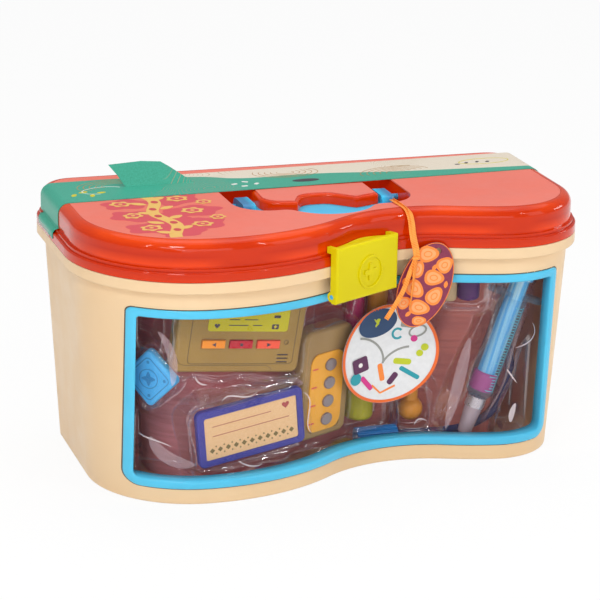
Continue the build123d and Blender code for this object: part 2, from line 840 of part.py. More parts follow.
def make_hammer_handle():
    centre, radius = handle_rod
    return station(*hammer_at).location * upright_rod(centre, radius, *hammer_span, 2.0)


def make_hammer_knob():
    centre, radius = knob_rod
    return station(*hammer_at).location * upright_rod(centre, radius, *hammer_span, 3.0)


def syringe_place():
    return station(*syringe_at, tilt=syringe_tilt)


def turned(*profile):
    # A solid turned about the syringe's own axis, from (radius, distance from the tip)
    body = revolve(Polygon(*profile, align=None), Axis.Y)
    return syringe_place().location * body


collar_top = nozzle_length + collar_length
bore_radius = barrel_radius - barrel_wall


def make_syringe_nozzle():
    return turned((0, 0), (nozzle_tip - 1, 0), (nozzle_tip, 1), (nozzle_root, nozzle_length - fit),
                  (0, nozzle_length - fit))


def make_syringe_collar():
    return turned((0, nozzle_length), (collar_radius, nozzle_length), (collar_radius, collar_top),
                  (0, collar_top))


def make_syringe_barrel():
    low = collar_top + fit
    seat = stopper_start - 0.5
    top = barrel_end
    body = revolve(Polygon((0, low), (collar_radius, low), (barrel_radius, low + shoulder_length),
                           (barrel_radius, top), (0, top), align=None), Axis.Y)
    width, depth, height = finger_bar
    bar = extrude(RectangleRounded(width, depth, depth * 0.45), height)
    body += Pos(0, top, 0) * Rot(90, 0, 0) * bar
    bore = revolve(Polygon((0, seat), (bore_radius, seat), (bore_radius, top + 1), (0, top + 1),
                           align=None), Axis.Y)
    return syringe_place().location * (body - bore)


def make_syringe_stopper():
    radius, top = bore_radius - stopper_gap, stopper_start + stopper_length
    return turned((0, stopper_start), (radius - 1, stopper_start), (radius, stopper_start + 1),
                  (radius, top - 1), (radius - 1, top), (0, top))


def make_syringe_plunger():
    low = stopper_start + stopper_length
    rest, height = thumb_rest
    return turned((0, low), (plunger_radius, low), (plunger_radius, plunger_end),
                  (rest, plunger_end), (rest, plunger_end + height), (0, plunger_end + height))


def make_block():
    side, thick = block_size
    body = block_of((side, side), thick, 3.0, 2.0)
    return station(*block_at).location * body


def bell_end():
    # The middle of the end that the hose comes to
    return behind_wall(bell_from_left, bell_z, bell_setback)


def make_stethoscope_bell():
    face = Circle(bell_radius) - PolarLocations(bell_radius, bell_flutes) * Circle(flute_radius)
    end = bell_end()
    start = end - Vector(bell_length, 0, 0)
    return extrude(Plane(start, x_dir=(0, 1, 0), z_dir=(1, 0, 0)) * face, bell_length)


def bend_radii(points):
    # Each bend as large as its two runs allow
    radii = []
    for before, corner, after in zip(points, points[1:], points[2:]):
        first, second = corner - before, after - corner
        half_turn = radians(first.get_angle(second)) / 2
        radii.append(0.45 * min(first.length, second.length) / tan(half_turn))
    return radii


def make_stethoscope_hose():
    points = [behind_wall(x, z, setback) for x, setback, z in hose_route]
    points.append(bell_end() + Vector(seat_gap, 0, 0))
    radii = bend_radii(points)
    print("hose bends, mm:", [round(r, 1) for r in radii])
    path = FilletPolyline(*points, radius=radii)
    section = Plane(path @ 0, z_dir=path % 0) * Circle(hose_radius)
    tube = sweep(section, path=path)
    print("hose volume over section times length: %.4f" % (tube.volume / (section.area * path.length)))
    return tube


# The finished pieces are moved so that Y counts from the middle of the whole case's box
front_reach = min(cy - radius for cx, cy, radius, heading, turn in front_arcs(rim_outset) if turn > 0)
back_reach = hinge_y + knuckle_radius
centre_y = (front_reach + back_reach) / 2


def save(name, shape):
    solids = shape if isinstance(shape, list) else [shape]
    whole = solids[0] if len(solids) == 1 else Compound(solids)
    export_step(Pos(0, -centre_y, 0) * whole, f"parts/{name}.step")


os.makedirs("parts", exist_ok=True)
save("tub", make_tub())
save("window_frame", make_window_frame())
save("window_pane", make_window_pane())
save("sticker", make_sticker())
save("lid_hinge_pins", make_hinge_pins())
save("latch_pin", make_latch_pin())
save("latch", make_latch())
save("lid_shell", make_lid_shell())
save("lid_inlay", make_lid_inlay())
save("handle_pins", make_handle_pins())
save("handle_grip", make_handle_grip())
save("handle_cover", make_handle_cover())
save("handle_inlay", make_handle_inlay())
save("paper_band", make_paper_band())
save("band_tape", make_band_tape())
save("hang_tag", make_hang_tag())
save("tag_ribbon", make_tag_ribbon())
save("tray", make_tray())
save("backing_card", make_backing_card())
save("pager_case", make_pager_case())
save("pager_screen", make_pager_screen())
for colour, centre in zip(("amber", "red", "coral"), button_centres()):
    save(f"pager_button_{colour}", make_button(centre))
save("badge_frame", make_badge_frame())
save("badge_card", make_badge_card())
save("tester_body", make_tester_body())
save("tester_panel", make_tester_panel())
save("tester_lenses", make_tester_lenses())
save("scope_handle", make_scope_handle())
save("scope_head", make_scope_head())
save("scope_tip", make_scope_tip())
save("bulb", make_bulb())
save("hammer_handle", make_hammer_handle())
save("hammer_knob", make_hammer_knob())
save("syringe_nozzle", make_syringe_nozzle())
save("syringe_collar", make_syringe_collar())
save("syringe_barrel", make_syringe_barrel())
save("syringe_stopper", make_syringe_stopper())
save("syringe_plunger", make_syringe_plunger())
save("block", make_block())
save("stethoscope_bell", make_stethoscope_bell())
save("stethoscope_hose", make_stethoscope_hose())

pin_line = (latch_plane().location * Pos(0, latch_pin_back, latch_pin_z)).position
inward = -station(*pager_at).z_dir
draw = syringe_place().y_dir
print("middle of the box in Y: %.3f" % centre_y)
print("lid hinge: %.3f %.3f" % (hinge_y - centre_y, hinge_z))
print("handle pivot: %.3f %.3f" % (pivot_y - centre_y, pivot_z))
print("latch pin:", pin_line - Vector(0, centre_y, 0))
print("button travel:", inward, " plunger travel:", draw)
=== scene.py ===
import math

import bpy
import numpy as np
from mathutils import Matrix, Vector


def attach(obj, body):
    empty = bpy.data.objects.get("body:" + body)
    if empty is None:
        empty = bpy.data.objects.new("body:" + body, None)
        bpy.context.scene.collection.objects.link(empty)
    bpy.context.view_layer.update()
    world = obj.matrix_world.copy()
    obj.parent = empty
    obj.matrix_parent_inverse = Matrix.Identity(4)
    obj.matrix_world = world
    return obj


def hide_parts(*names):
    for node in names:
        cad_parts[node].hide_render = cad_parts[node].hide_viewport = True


# Toy doctor case. Numbers are millimetres, counted in Y from the middle line of the case's
# plan, until a mesh is made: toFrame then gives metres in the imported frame.
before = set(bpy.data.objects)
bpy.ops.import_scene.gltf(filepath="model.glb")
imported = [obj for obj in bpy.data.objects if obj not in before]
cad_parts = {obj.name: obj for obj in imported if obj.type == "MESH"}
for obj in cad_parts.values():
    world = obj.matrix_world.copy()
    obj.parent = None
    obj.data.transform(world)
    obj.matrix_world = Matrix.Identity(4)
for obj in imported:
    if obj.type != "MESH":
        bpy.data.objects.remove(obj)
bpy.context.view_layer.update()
print("frame loaded,", len(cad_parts), "nodes")

casePlan = {
    "half": 160.0,
    "sideEndY": -11.4,
    "middleY": 4.435,
    "rimZ": 136.3,
    "draft": 8.44,
    "radii": (73.6, 134.2, 75.7, 200.0),
    "turns": (85.0, 41.35, -57.1, 9.6),
    "lidTop": 167.56,
}


def toFrame(points):
    return (np.asarray(points, float) - (0.0, casePlan["middleY"], 0.0)) * 0.001


def frontArcs():
    # The S of the front wall: circles met end to end, and a last one that meets the right side
    x, y, heading = -casePlan["half"], casePlan["sideEndY"], math.radians(-90)
    arcs = []
    for radius, turn in zip(casePlan["radii"], casePlan["turns"]):
        side = 1 if turn > 0 else -1
        centreX = x - side * radius * math.sin(heading)
        centreY = y + side * radius * math.cos(heading)
        start, heading = heading, heading + math.radians(turn)
        arcs.append((centreX, centreY, radius, side, start, heading))
        x = centreX + side * radius * math.sin(heading)
        y = centreY - side * radius * math.cos(heading)
    radius = (casePlan["half"] - x) / (1 - math.sin(heading))
    centreX, centreY = x - radius * math.sin(heading), y + radius * math.cos(heading)
    arcs.append((centreX, centreY, radius, 1, heading, math.radians(90)))
    return arcs


def wallY(x, z, proud=0.0):
    # Y of the front wall: each circle's radius grows with proud and shrinks towards the floor
    x, z = np.broadcast_arrays(np.asarray(x, float), np.asarray(z, float))
    grow = proud - casePlan["draft"] * (1 - z / casePlan["rimZ"])
    y = np.full(x.shape, casePlan["sideEndY"])
    for centreX, centreY, radius, side, start, end in reversed(frontArcs()):
        reach = radius + side * grow
        arcY = centreY - side * np.sqrt(np.maximum(reach**2 - (x - centreX) ** 2, 0.0))
        y = np.where(x <= centreX + side * reach * math.sin(end), arcY, y)
    return y


def wallPath(sideY, step):
    # Points along the front wall's plan from side to side, with their inward normals
    points, normals = [], []
    straight = np.linspace(sideY, casePlan["sideEndY"], 6)[:-1]
    points.append(np.stack([np.full(5, -casePlan["half"]), straight], 1))
    normals.append(np.tile((1.0, 0.0), (5, 1)))
    for centreX, centreY, radius, side, start, end in frontArcs():
        count = max(int(abs(end - start) * radius / step), 3)
        heading = np.linspace(start, end, count, endpoint=False)
        points.append(np.stack([centreX + side * radius * np.sin(heading),
                                centreY - side * radius * np.cos(heading)], 1))
        normals.append(np.stack([-np.sin(heading), np.cos(heading)], 1))
    rightY = frontArcs()[-1][1]
    straight = np.linspace(rightY, sideY, 6)
    points.append(np.stack([np.full(6, casePlan["half"]), straight], 1))
    normals.append(np.tile((-1.0, 0.0), (6, 1)))
    return np.concatenate(points), np.concatenate(normals)


# Materials -------------------------------------------------------------------------------

def hexColour(code):
    # sRGB to the linear colour that shaders work in
    value = np.array([int(code[i:i + 2], 16) / 255 for i in (1, 3, 5)])
    linear = np.where(value <= 0.04045, value / 12.92, ((value + 0.055) / 1.055) ** 2.4)
    return (*[float(v) for v in linear], 1.0)


def addNode(tree, kind, inputs=None, **settings):
    node = tree.nodes.new("ShaderNode" + kind)
    for key, value in settings.items():
        setattr(node, key, value)
    for key, value in (inputs or {}).items():
        if isinstance(value, bpy.types.NodeSocket):
            tree.links.new(value, node.inputs[key])
        else:
            node.inputs[key].default_value = value
    return node


def newMaterial(name):
    material = bpy.data.materials.new(name)
    material.use_nodes = True
    return material, material.node_tree, material.node_tree.nodes["Principled BSDF"]


def objectPoint(tree):
    return addNode(tree, "TexCoord").outputs["Object"]


def mixed(tree, factor, first, second):
    node = addNode(tree, "Mix", {0: factor}, data_type="RGBA")
    for socket, value in ((node.inputs[6], first), (node.inputs[7], second)):
        if isinstance(value, str):
            socket.default_value = hexColour(value)
        else:
            tree.links.new(value, socket)
    return node.outputs[2]


def speckle(tree, sizeMm, detail=3.0, low=0.35, high=0.65):
    # A soft noise whose patches are sizeMm across, stretched to run from 0 to 1
    noise = addNode(tree, "TexNoise", {"Vector": objectPoint(tree), "Scale": 1000.0 / sizeMm,
                                       "Detail": detail})
    return addNode(tree, "MapRange", {"Value": noise.outputs["Fac"], "From Min": low,
                                      "From Max": high}).outputs[0]


def bumpOf(tree, height, depthMm, strength=1.0):
    return addNode(tree, "Bump", {"Height": height, "Distance": depthMm * 0.001,
                                  "Strength": strength}).outputs[0]


def mouldedPlastic(name, colour, shade, roughness=0.3, sheen=0.3, coat=0.0, cloudMm=45.0,
                   grainMm=0.7, grainDepth=0.02):
    # Injection-moulded ABS or polypropylene: an even colour with faint flow clouds, a skin
    # with a fine grain, and a polish that dulls a little in patches
    material, tree, shader = newMaterial(name)
    tree.links.new(mixed(tree, speckle(tree, cloudMm), colour, shade), shader.inputs["Base Color"])
    rough = addNode(tree, "MapRange", {"Value": speckle(tree, 18.0), "To Min": roughness * 0.85,
                                       "To Max": roughness * 1.2}).outputs[0]
    tree.links.new(rough, shader.inputs["Roughness"])
    tree.links.new(bumpOf(tree, speckle(tree, grainMm, 2.0), grainDepth), shader.inputs["Normal"])
    shader.inputs["IOR"].default_value = 1.5
    shader.inputs["Specular IOR Level"].default_value = sheen
    shader.inputs["Coat Weight"].default_value = coat
    shader.inputs["Coat Roughness"].default_value = 0.06
    return material


def lidPlastic():
    # Clear red polystyrene, its colour carrying painted light and shade: a painted deep red where its wall is
    # seen on edge, a painted orange glow in bands round the dome, where light comes through, and a painted
    # glow, an emission, down in the handle's well
    material, tree, shader = newMaterial("clearRedPolystyrene")
    place = addNode(tree, "SeparateXYZ", {"Vector": objectPoint(tree)})
    rise = addNode(tree, "MapRange", {"Value": place.outputs[2], "From Min": 0.142,
                                      "From Max": 0.168}).outputs[0]
    # Painted light and shade: darker and brighter bands by height round the dome
    ramp = addNode(tree, "ValToRGB", {0: rise})
    stops = ((0.0, "#da3802"), (0.3, "#c62a00"), (0.42, "#ec4404"), (0.62, "#c42a00"),
             (0.8, "#d23402"), (0.95, "#ea480a"))
    while len(ramp.color_ramp.elements) < len(stops):
        ramp.color_ramp.elements.new(0.5)
    for element, (spot, code) in zip(ramp.color_ramp.elements, stops):
        element.position = spot
        element.color = hexColour(code)
    flow = speckle(tree, 55.0, 1.0, 0.4, 0.6)
    tree.links.new(mixed(tree, flow, ramp.outputs[0], "#cc3000"), shader.inputs["Base Color"])
    # Painted light: the handle's well glows by emission, standing for light through the red wall
    across = addNode(tree, "Math", {0: place.outputs[0]}, operation="ABSOLUTE").outputs[0]
    inX = addNode(tree, "MapRange", {"Value": across, "From Min": 0.062, "From Max": 0.056}).outputs[0]
    deep = addNode(tree, "MapRange", {"Value": place.outputs[1], "From Min": -0.048,
                                      "From Max": -0.036}).outputs[0]
    low = addNode(tree, "MapRange", {"Value": place.outputs[2], "From Min": 0.1672,
                                     "From Max": 0.164}).outputs[0]
    well = addNode(tree, "Math", {0: inX, 1: deep}, operation="MULTIPLY").outputs[0]
    well = addNode(tree, "Math", {0: well, 1: low}, operation="MULTIPLY").outputs[0]
    glow = addNode(tree, "Math", {0: well, 1: 0.22}, operation="MULTIPLY").outputs[0]
    shader.inputs["Emission Color"].default_value = hexColour("#f03408")
    tree.links.new(glow, shader.inputs["Emission Strength"])
    tree.links.new(bumpOf(tree, speckle(tree, 40.0, 1.0), 0.15), shader.inputs["Normal"])
    shader.inputs["Roughness"].default_value = 0.1
    shader.inputs["IOR"].default_value = 1.5
    shader.inputs["Specular IOR Level"].default_value = 0.05
    shader.inputs["Coat Weight"].default_value = 0.5
    shader.inputs["Coat Roughness"].default_value = 0.045
    return material


def gripPlastic():
    # The grip's blue: bright where it is open to the light, with painted shade, a darker grey-blue, on its two
    # arms in the well
    material, tree, shader = newMaterial("mouldedAbsGripBlue")
    place = addNode(tree, "SeparateXYZ", {"Vector": objectPoint(tree)})
    reach = addNode(tree, "Math", {0: place.outputs[0]}, operation="ABSOLUTE").outputs[0]
    # Painted shade: the two arms, down in the well, turn darker
    armShade = addNode(tree, "MapRange", {"Value": reach, "From Min": 0.040, "From Max": 0.046}).outputs[0]
    bright = mixed(tree, speckle(tree, 30.0), "#30d6ff", "#28ccfc")
    tree.links.new(mixed(tree, armShade, bright, "#3f86b8"), shader.inputs["Base Color"])
    tree.links.new(bumpOf(tree, speckle(tree, 0.7, 2.0), 0.02), shader.inputs["Normal"])
    shader.inputs["Roughness"].default_value = 0.28
    shader.inputs["Specular IOR Level"].default_value = 0.3
    return material


def plungerPlastic():
    # Translucent blue with pale streaks along the plunger, its ribs seen through its wall
    material, tree, shader = newMaterial("translucentSyringeBlue")
    along = addNode(tree, "Mapping", {"Vector": objectPoint(tree), "Rotation": (0.0, math.radians(17.1), 0.0),
                                      "Scale": (0.0022, 0.0022, 0.09)}, vector_type="TEXTURE")
    streaks = addNode(tree, "TexNoise", {"Vector": along.outputs[0], "Scale": 1.0, "Detail": 2.0})
    pale = addNode(tree, "MapRange", {"Value": streaks.outputs["Fac"], "From Min": 0.42,
                                      "From Max": 0.66}).outputs[0]
    tree.links.new(mixed(tree, pale, "#52b8ee", "#aee4f8"), shader.inputs["Base Color"])
    shader.inputs["Roughness"].default_value = 0.15
    shader.inputs["Specular IOR Level"].default_value = 0.5
    return material


def clearPlastic(name, tint, veil, veilColour, shine=0.004, ridgeShine=0.0, gloss=0.05,
                 rippleMm=14.0, rippleDepth=0.05):
    # Clear sheet: light passes, a little of it is lost in a pale veil, and the lights shine
    # back off a softly rippled skin, more so at a slant and along its formed ridges
    material = bpy.data.materials.new(name)
    material.use_nodes = True
    tree = material.node_tree
    tree.nodes.clear()
    ripple = bumpOf(tree, speckle(tree, rippleMm, 1.0), rippleDepth)
    through = addNode(tree, "BsdfTransparent", {"Color": hexColour(tint)}).outputs[0]
    milk = addNode(tree, "BsdfDiffuse", {"Color": hexColour(veilColour)}).outputs[0]
    skin = addNode(tree, "BsdfGlossy", {"Color": (1.0, 1.0, 1.0, 1.0), "Roughness": gloss,
                                        "Normal": ripple}).outputs[0]
    body = addNode(tree, "MixShader", {0: veil, 1: through, 2: milk}).outputs[0]
    facing = addNode(tree, "LayerWeight", {"Blend": 0.5, "Normal": ripple}).outputs["Facing"]
    rise = addNode(tree, "Math", {0: facing, 1: 5.0}, operation="POWER").outputs[0]
    slant = addNode(tree, "MapRange", {"Value": rise, "To Min": shine, "To Max": 0.4}).outputs[0]
    if ridgeShine:
        ridge = addNode(tree, "Attribute", attribute_name="ridge").outputs["Fac"]
        slant = addNode(tree, "Math", {0: ridge, 1: ridgeShine, 2: slant},
                        operation="MULTIPLY_ADD").outputs[0]
    whole = addNode(tree, "MixShader", {0: slant, 1: body, 2: skin}).outputs[0]
    addNode(tree, "OutputMaterial", {"Surface": whole})
    return material


def keepRidge(piece, values):
    # How much each point of a formed sheet lies on a ridge, for its material
    ridge = piece.data.attributes.new("ridge", "FLOAT", "POINT")
    ridge.data.foreach_set("value", np.clip(values, 0, 1).ravel().astype(np.float32))


def printedCard(name, colour, shade, roughness=0.5, fibreMm=1.2):
    # Coated cardboard: a flat ink with a faint mottle, and a sheen from the varnish
    material, tree, shader = newMaterial(name)
    tree.links.new(mixed(tree, speckle(tree, fibreMm, 4.0), colour, shade),
                   shader.inputs["Base Color"])
    shader.inputs["Roughness"].default_value = roughness
    tree.links.new(bumpOf(tree, speckle(tree, 0.5, 2.0), 0.01), shader.inputs["Normal"])
    return material


def sleeveCard():
    # Printed sleeve: teal in front, a cream stripe behind a wandering edge, fine ochre contour
    # lines on the cream and salmon ones on the teal
    material, tree, shader = newMaterial("varnishedSleeveCard")
    place = addNode(tree, "SeparateXYZ", {"Vector": objectPoint(tree)})
    along, back = place.outputs[0], place.outputs[1]
    reach = addNode(tree, "MapRange", {"Value": along, "From Min": -0.165, "From Max": 0.165})
    edge = addNode(tree, "FloatCurve", {"Value": reach.outputs[0]})
    curve = edge.mapping.curves[0]
    stops = ((-165, 74), (-110, 68), (-60, 60), (-31, 50), (9, 51), (64, 44), (112, 40), (165, 37))
    for number, (x, y) in enumerate(stops):
        spot = ((x + 165) / 330, (y - 20) / 60)
        if number in (0, len(stops) - 1):
            curve.points[0 if number == 0 else -1].location = spot
        else:
            curve.points.new(*spot)
    edge.mapping.update()
    depth = addNode(tree, "MapRange", {"Value": back, "From Min": 0.02 - 0.004435,
                                       "From Max": 0.08 - 0.004435})
    beyond = addNode(tree, "Math", {0: depth.outputs[0], 1: edge.outputs[0]}, operation="SUBTRACT")
    cream = addNode(tree, "MapRange", {"Value": beyond.outputs[0], "From Min": -0.004,
                                       "From Max": 0.004}).outputs[0]
    hill = addNode(tree, "TexNoise", {"Vector": objectPoint(tree), "Scale": 26.0, "Detail": 0.5})
    rings = addNode(tree, "Math", {0: hill.outputs["Fac"], 1: 34.0}, operation="MULTIPLY")
    step = addNode(tree, "Math", {0: rings.outputs[0]}, operation="FRACT")
    line = addNode(tree, "MapRange", {"Value": step.outputs[0], "From Min": 0.86,
                                      "From Max": 0.9}).outputs[0]
    where = addNode(tree, "TexNoise", {"Vector": objectPoint(tree), "Scale": 11.0, "Detail": 0.0})
    there = addNode(tree, "MapRange", {"Value": where.outputs["Fac"], "From Min": 0.52,
                                       "From Max": 0.56}).outputs[0]
    drawn = addNode(tree, "Math", {0: line, 1: there}, operation="MULTIPLY").outputs[0]
    soft = addNode(tree, "Math", {0: drawn, 1: 0.55}, operation="MULTIPLY").outputs[0]
    mottle = speckle(tree, 0.9, 4.0)
    teal = mixed(tree, soft, mixed(tree, mottle, "#40af95", "#37a288"), "#d58f78")
    pale = mixed(tree, soft, mixed(tree, mottle, "#eee2d0", "#e6d9c5"), "#a98546")
    tree.links.new(mixed(tree, cream, teal, pale), shader.inputs["Base Color"])
    shader.inputs["Roughness"].default_value = 0.42
    tree.links.new(bumpOf(tree, mottle, 0.01), shader.inputs["Normal"])
    return material


def backingCard():
    # Printed card seen through the tray: maroon on the left, brick to the right, brush grain
    material, tree, shader = newMaterial("printedBackingCard")
    place = addNode(tree, "SeparateXYZ", {"Vector": objectPoint(tree)})
    side = addNode(tree, "MapRange", {"Value": place.outputs[0], "From Min": -0.13,
                                      "From Max": 0.12}).outputs[0]
    ground = mixed(tree, side, "#cc5a66", "#e08468")
    # A brown band of painted shade runs up beside the syringe, and a pale painted reflection lies in the lower
    # left corner
    lean = addNode(tree, "Math", {0: place.outputs[2], 1: 0.33}, operation="MULTIPLY").outputs[0]
    off = addNode(tree, "Math", {0: place.outputs[0], 1: lean}, operation="SUBTRACT").outputs[0]
    off = addNode(tree, "Math", {0: off, 1: 0.048}, operation="SUBTRACT").outputs[0]
    off = addNode(tree, "Math", {0: off}, operation="ABSOLUTE").outputs[0]
    fold = addNode(tree, "MapRange", {"Value": off, "From Min": 0.004, "From Max": 0.011, "To Min": 0.75,
                                      "To Max": 0.0}).outputs[0]
    ground = mixed(tree, fold, ground, "#9a3c20")
    # Painted reflection: a pale pink patch in the lower left corner
    corner = addNode(tree, "VectorMath", {0: objectPoint(tree), 1: (-0.118, -0.03, 0.03)},
                     operation="DISTANCE").outputs["Value"]
    sheen = addNode(tree, "MapRange", {"Value": corner, "From Min": 0.025, "From Max": 0.06,
                                       "To Min": 0.55, "To Max": 0.0}).outputs[0]
    ground = mixed(tree, sheen, ground, "#f6b8bd")
    stretch = addNode(tree, "Mapping", {"Vector": objectPoint(tree), "Scale": (30.0, 30.0, 420.0)})
    strokes = addNode(tree, "TexNoise", {"Vector": stretch.outputs[0], "Scale": 1.0, "Detail": 4.0})
    dark = addNode(tree, "MapRange", {"Value": strokes.outputs["Fac"], "From Min": 0.4,
                                      "From Max": 0.75, "To Max": 0.45}).outputs[0]
    tree.links.new(mixed(tree, dark, ground, "#8c3236"), shader.inputs["Base Color"])
    shader.inputs["Roughness"].default_value = 0.5
    return material


def wovenRibbon():
    # Satin ribbon: fine cross ribs every 0.6 mm, and a soft painted shine, a lighter orange, that follows the
    # weave, with painted sheen in soft patches
    material, tree, shader = newMaterial("satinRibbon")
    ribs = addNode(tree, "TexWave", {"Vector": objectPoint(tree), "Scale": 330.0,
                                     "Distortion": 0.6}, bands_direction="DIAGONAL")
    # Painted sheen: a lighter orange in soft patches 6 mm across
    paintedSheens = speckle(tree, 6.0, 1.0)
    satin = mixed(tree, paintedSheens, "#f07c1c", "#ff9c3c")
    tree.links.new(mixed(tree, ribs.outputs["Fac"], satin, "#fba34c"), shader.inputs["Base Color"])
    tree.links.new(bumpOf(tree, ribs.outputs["Fac"], 0.03), shader.inputs["Normal"])
    shader.inputs["Roughness"].default_value = 0.42
    shader.inputs["Specular IOR Level"].default_value = 0.3
    return material


def brightMetal():
    # Vacuum-metallised plastic: a bright silver with a slight haze
    material, tree, shader = newMaterial("metallisedPlastic")
    shader.inputs["Base Color"].default_value = hexColour("#c9c6cc")
    shader.inputs["Metallic"].default_value = 0.75
    tree.links.new(addNode(tree, "MapRange", {"Value": speckle(tree, 3.0), "To Min": 0.22,
                                              "To Max": 0.36}).outputs[0],
                   shader.inputs["Roughness"])
    return material


finishes = {
    "tub": mouldedPlastic("mouldedPolypropyleneCream", "#eecfa6", "#ebc99d", 0.36, 0.3, 0.0, 90.0, 0.5, 0.015),
    "frame": mouldedPlastic("mouldedAbsSkyBlue", "#56c8ee", "#4dbde4", 0.2, 0.3, 0.15),
    "pin": mouldedPlastic("mouldedAbsPinBlue", "#4fb0e2", "#46a4d4"),
    "latch": mouldedPlastic("mouldedAbsLime", "#dfd008", "#d8c804", 0.36, 0.16, 0.0, 60.0, 0.6, 0.02),
    "lid": lidPlastic(),
    "inlay": mouldedPlastic("matteInlayPink", "#f4806f", "#f07866", 0.4, 0.3, 0.0, 120.0, 0.6, 0.008),
    "grip": gripPlastic(),
    "pager": mouldedPlastic("mouldedAbsOlive", "#a88a44", "#9c7e3c", 0.42),
    "screen": mouldedPlastic("printedScreenYellow", "#d2cb18", "#c6be10"),
    "amber": mouldedPlastic("mouldedAbsAmber", "#ffa22a", "#f99620"),
    "red": mouldedPlastic("mouldedAbsRed", "#cc1c30", "#bd1628"),
    "coral": mouldedPlastic("mouldedAbsCoral", "#ff5f40", "#f65636"),
    "badge": mouldedPlastic("mouldedAbsBadgeBlue", "#4146a6", "#383d98"),
    "tester": mouldedPlastic("mouldedAbsTan", "#a88c54", "#9c804a", 0.4),
    "panel": mouldedPlastic("mouldedAbsYellow", "#f7b52c", "#f0aa20"),
    "lens": mouldedPlastic("mouldedAbsLensGrey", "#82767c", "#7a6e6c", 0.15, 0.5, 0.5),
    "lime": mouldedPlastic("mouldedAbsScopeLime", "#b3b014", "#a6a30e"),
    "magenta": mouldedPlastic("mouldedAbsMagenta", "#c01f66", "#ae1858"),
    "pinkRubber": mouldedPlastic("mouldedStopperPink", "#d8388c", "#ca2c7e"),
    "honey": mouldedPlastic("mouldedAbsHoney", "#e39a2a", "#d58c20"),
    "bone": mouldedPlastic("mouldedAbsBone", "#d2b98e", "#c7ae82", 0.4),
    "purple": mouldedPlastic("mouldedAbsPurple", "#4f1e66", "#431858"),
    "syringeBlue": plungerPlastic(),
    "nozzle": mouldedPlastic("mouldedNozzleGrey", "#b4a3ab", "#a6969e", 0.25, 0.5, 0.5),
    "block": mouldedPlastic("mouldedAbsBlockBlue", "#58c4ff", "#4cbaf6", 0.32, 0.3, 0.0, 30.0, 5.0, 0.35),
    "navy": mouldedPlastic("pvcTubeNavy", "#26356f", "#1f2c60", 0.3, 0.4),
    "bell": mouldedPlastic("mouldedAbsBellBlue", "#2478bd", "#1d6cae"),
    "window": clearPlastic("clearPane", "#fefdfd", 0.014, "#e8dde2", 0.003, 0.0, 0.03, 60.0, 0.03),
    "film": clearPlastic("formedClearCover", "#fefcfc", 0.03, "#d8b4c0", 0.003, 0.26, 0.045, 14.0, 0.1),
    "tray": clearPlastic("formedClearTray", "#fdf8f9", 0.14, "#d29ca8", 0.004, 0.16, 0.08, 9.0, 0.08),
    # Painted highlights: white glints and pale sheens laid in the clear sheet
    "crease": clearPlastic("paintedWhiteGlint", "#ffffff", 0.5, "#f3e4e6", 0.02, 0.0, 0.1, 9.0, 0.02),
    "fold": clearPlastic("paintedWhiteSheen", "#ffffff", 0.2, "#dcbcc2", 0.01, 0.0, 0.1, 9.0, 0.02),
    "barrel": clearPlastic("clearBarrel", "#e4f4fc", 0.09, "#9ccdea", 0.015, 0.0, 0.08, 30.0, 0.02),
    "tape": clearPlastic("clearTape", "#fdfafa", 0.1, "#f4ece6", 0.02, 0.0, 0.12, 3.0, 0.08),
    "card": backingCard(),
    "sleeve": sleeveCard(),
    "badgeCard": printedCard("printedBadgeCard", "#f0cb98", "#eac28c"),
    "label": printedCard("glossyLabel", "#e9e9ea", "#e3e3e4", 0.28, 3.0),
    "tag": printedCard("varnishedTagMaroon", "#8a2c4c", "#7d2545", 0.4),
    "ribbon": wovenRibbon(),
    "silver": brightMetal(),
}

inks = {
    "orange": "#ef6a24", "peach": "#f6a96a", "tangerine": "#fb8a34", "navy": "#21436c",
    "rose": "#e04a58", "roseDeep": "#d43e48", "tan": "#b98a4e", "butter": "#f5c264", "lemon": "#d9cc1e",
    "white": "#f4f1ec", "brick": "#b04a48", "olive": "#7a6a34", "ink": "#3a3440",
    "teal": "#1f9ba8", "magenta": "#d82f8a", "plum": "#5a2450", "steel": "#9a9a94",
    "gap": "#4e3a2c", "blockInk": "#2f8fca",
    "grooveInk": "#6c5a2a", "limeInk": "#c3cc1e", "aqua": "#58c4d6", "tick": "#e0523c",
}
inkMaterials = {name: printedCard("ink" + name[0].upper() + name[1:], code, code, 0.38)
                for name, code in inks.items()}
print("materials made,", len(finishes) + len(inks))

nodeFinish = {
    "tub": "tub", "window_pane": "window", "lid_hinge_pins": "pin", "latch_pin": "pin",
    "latch": "latch", "lid_shell": "lid", "lid_inlay": "inlay", "handle_pins": "pin",
    "handle_grip": "grip", "handle_cover": "lid", "handle_inlay": "inlay",
    "paper_band": "sleeve", "band_tape": "tape", "hang_tag": "tag", "sticker": "label",
    "backing_card": "card", "pager_case": "pager", "pager_screen": "screen",
    "pager_button_amber": "amber", "pager_button_red": "red", "pager_button_coral": "coral",
    "badge_frame": "badge", "badge_card": "badgeCard", "tester_body": "tester",
    "tester_panel": "panel", "tester_lenses": "lens", "scope_handle": "lime",
    "scope_head": "magenta", "scope_tip": "honey", "bulb": "honey", "hammer_handle": "bone",
    "hammer_knob": "purple", "syringe_nozzle": "nozzle", "syringe_collar": "silver",
    "syringe_barrel": "barrel", "syringe_stopper": "pinkRubber", "syringe_plunger": "syringeBlue",
    "block": "block", "stethoscope_bell": "bell", "stethoscope_hose": "navy",
    "window_frame": "frame", "tray": "tray", "tag_ribbon": "ribbon",
}
for node, finish in nodeFinish.items():
    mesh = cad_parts[node].data
    mesh.materials.clear()
    mesh.materials.append(finishes[finish])
print("packed nodes painted")


# Mesh makers -----------------------------------------------------------------------------

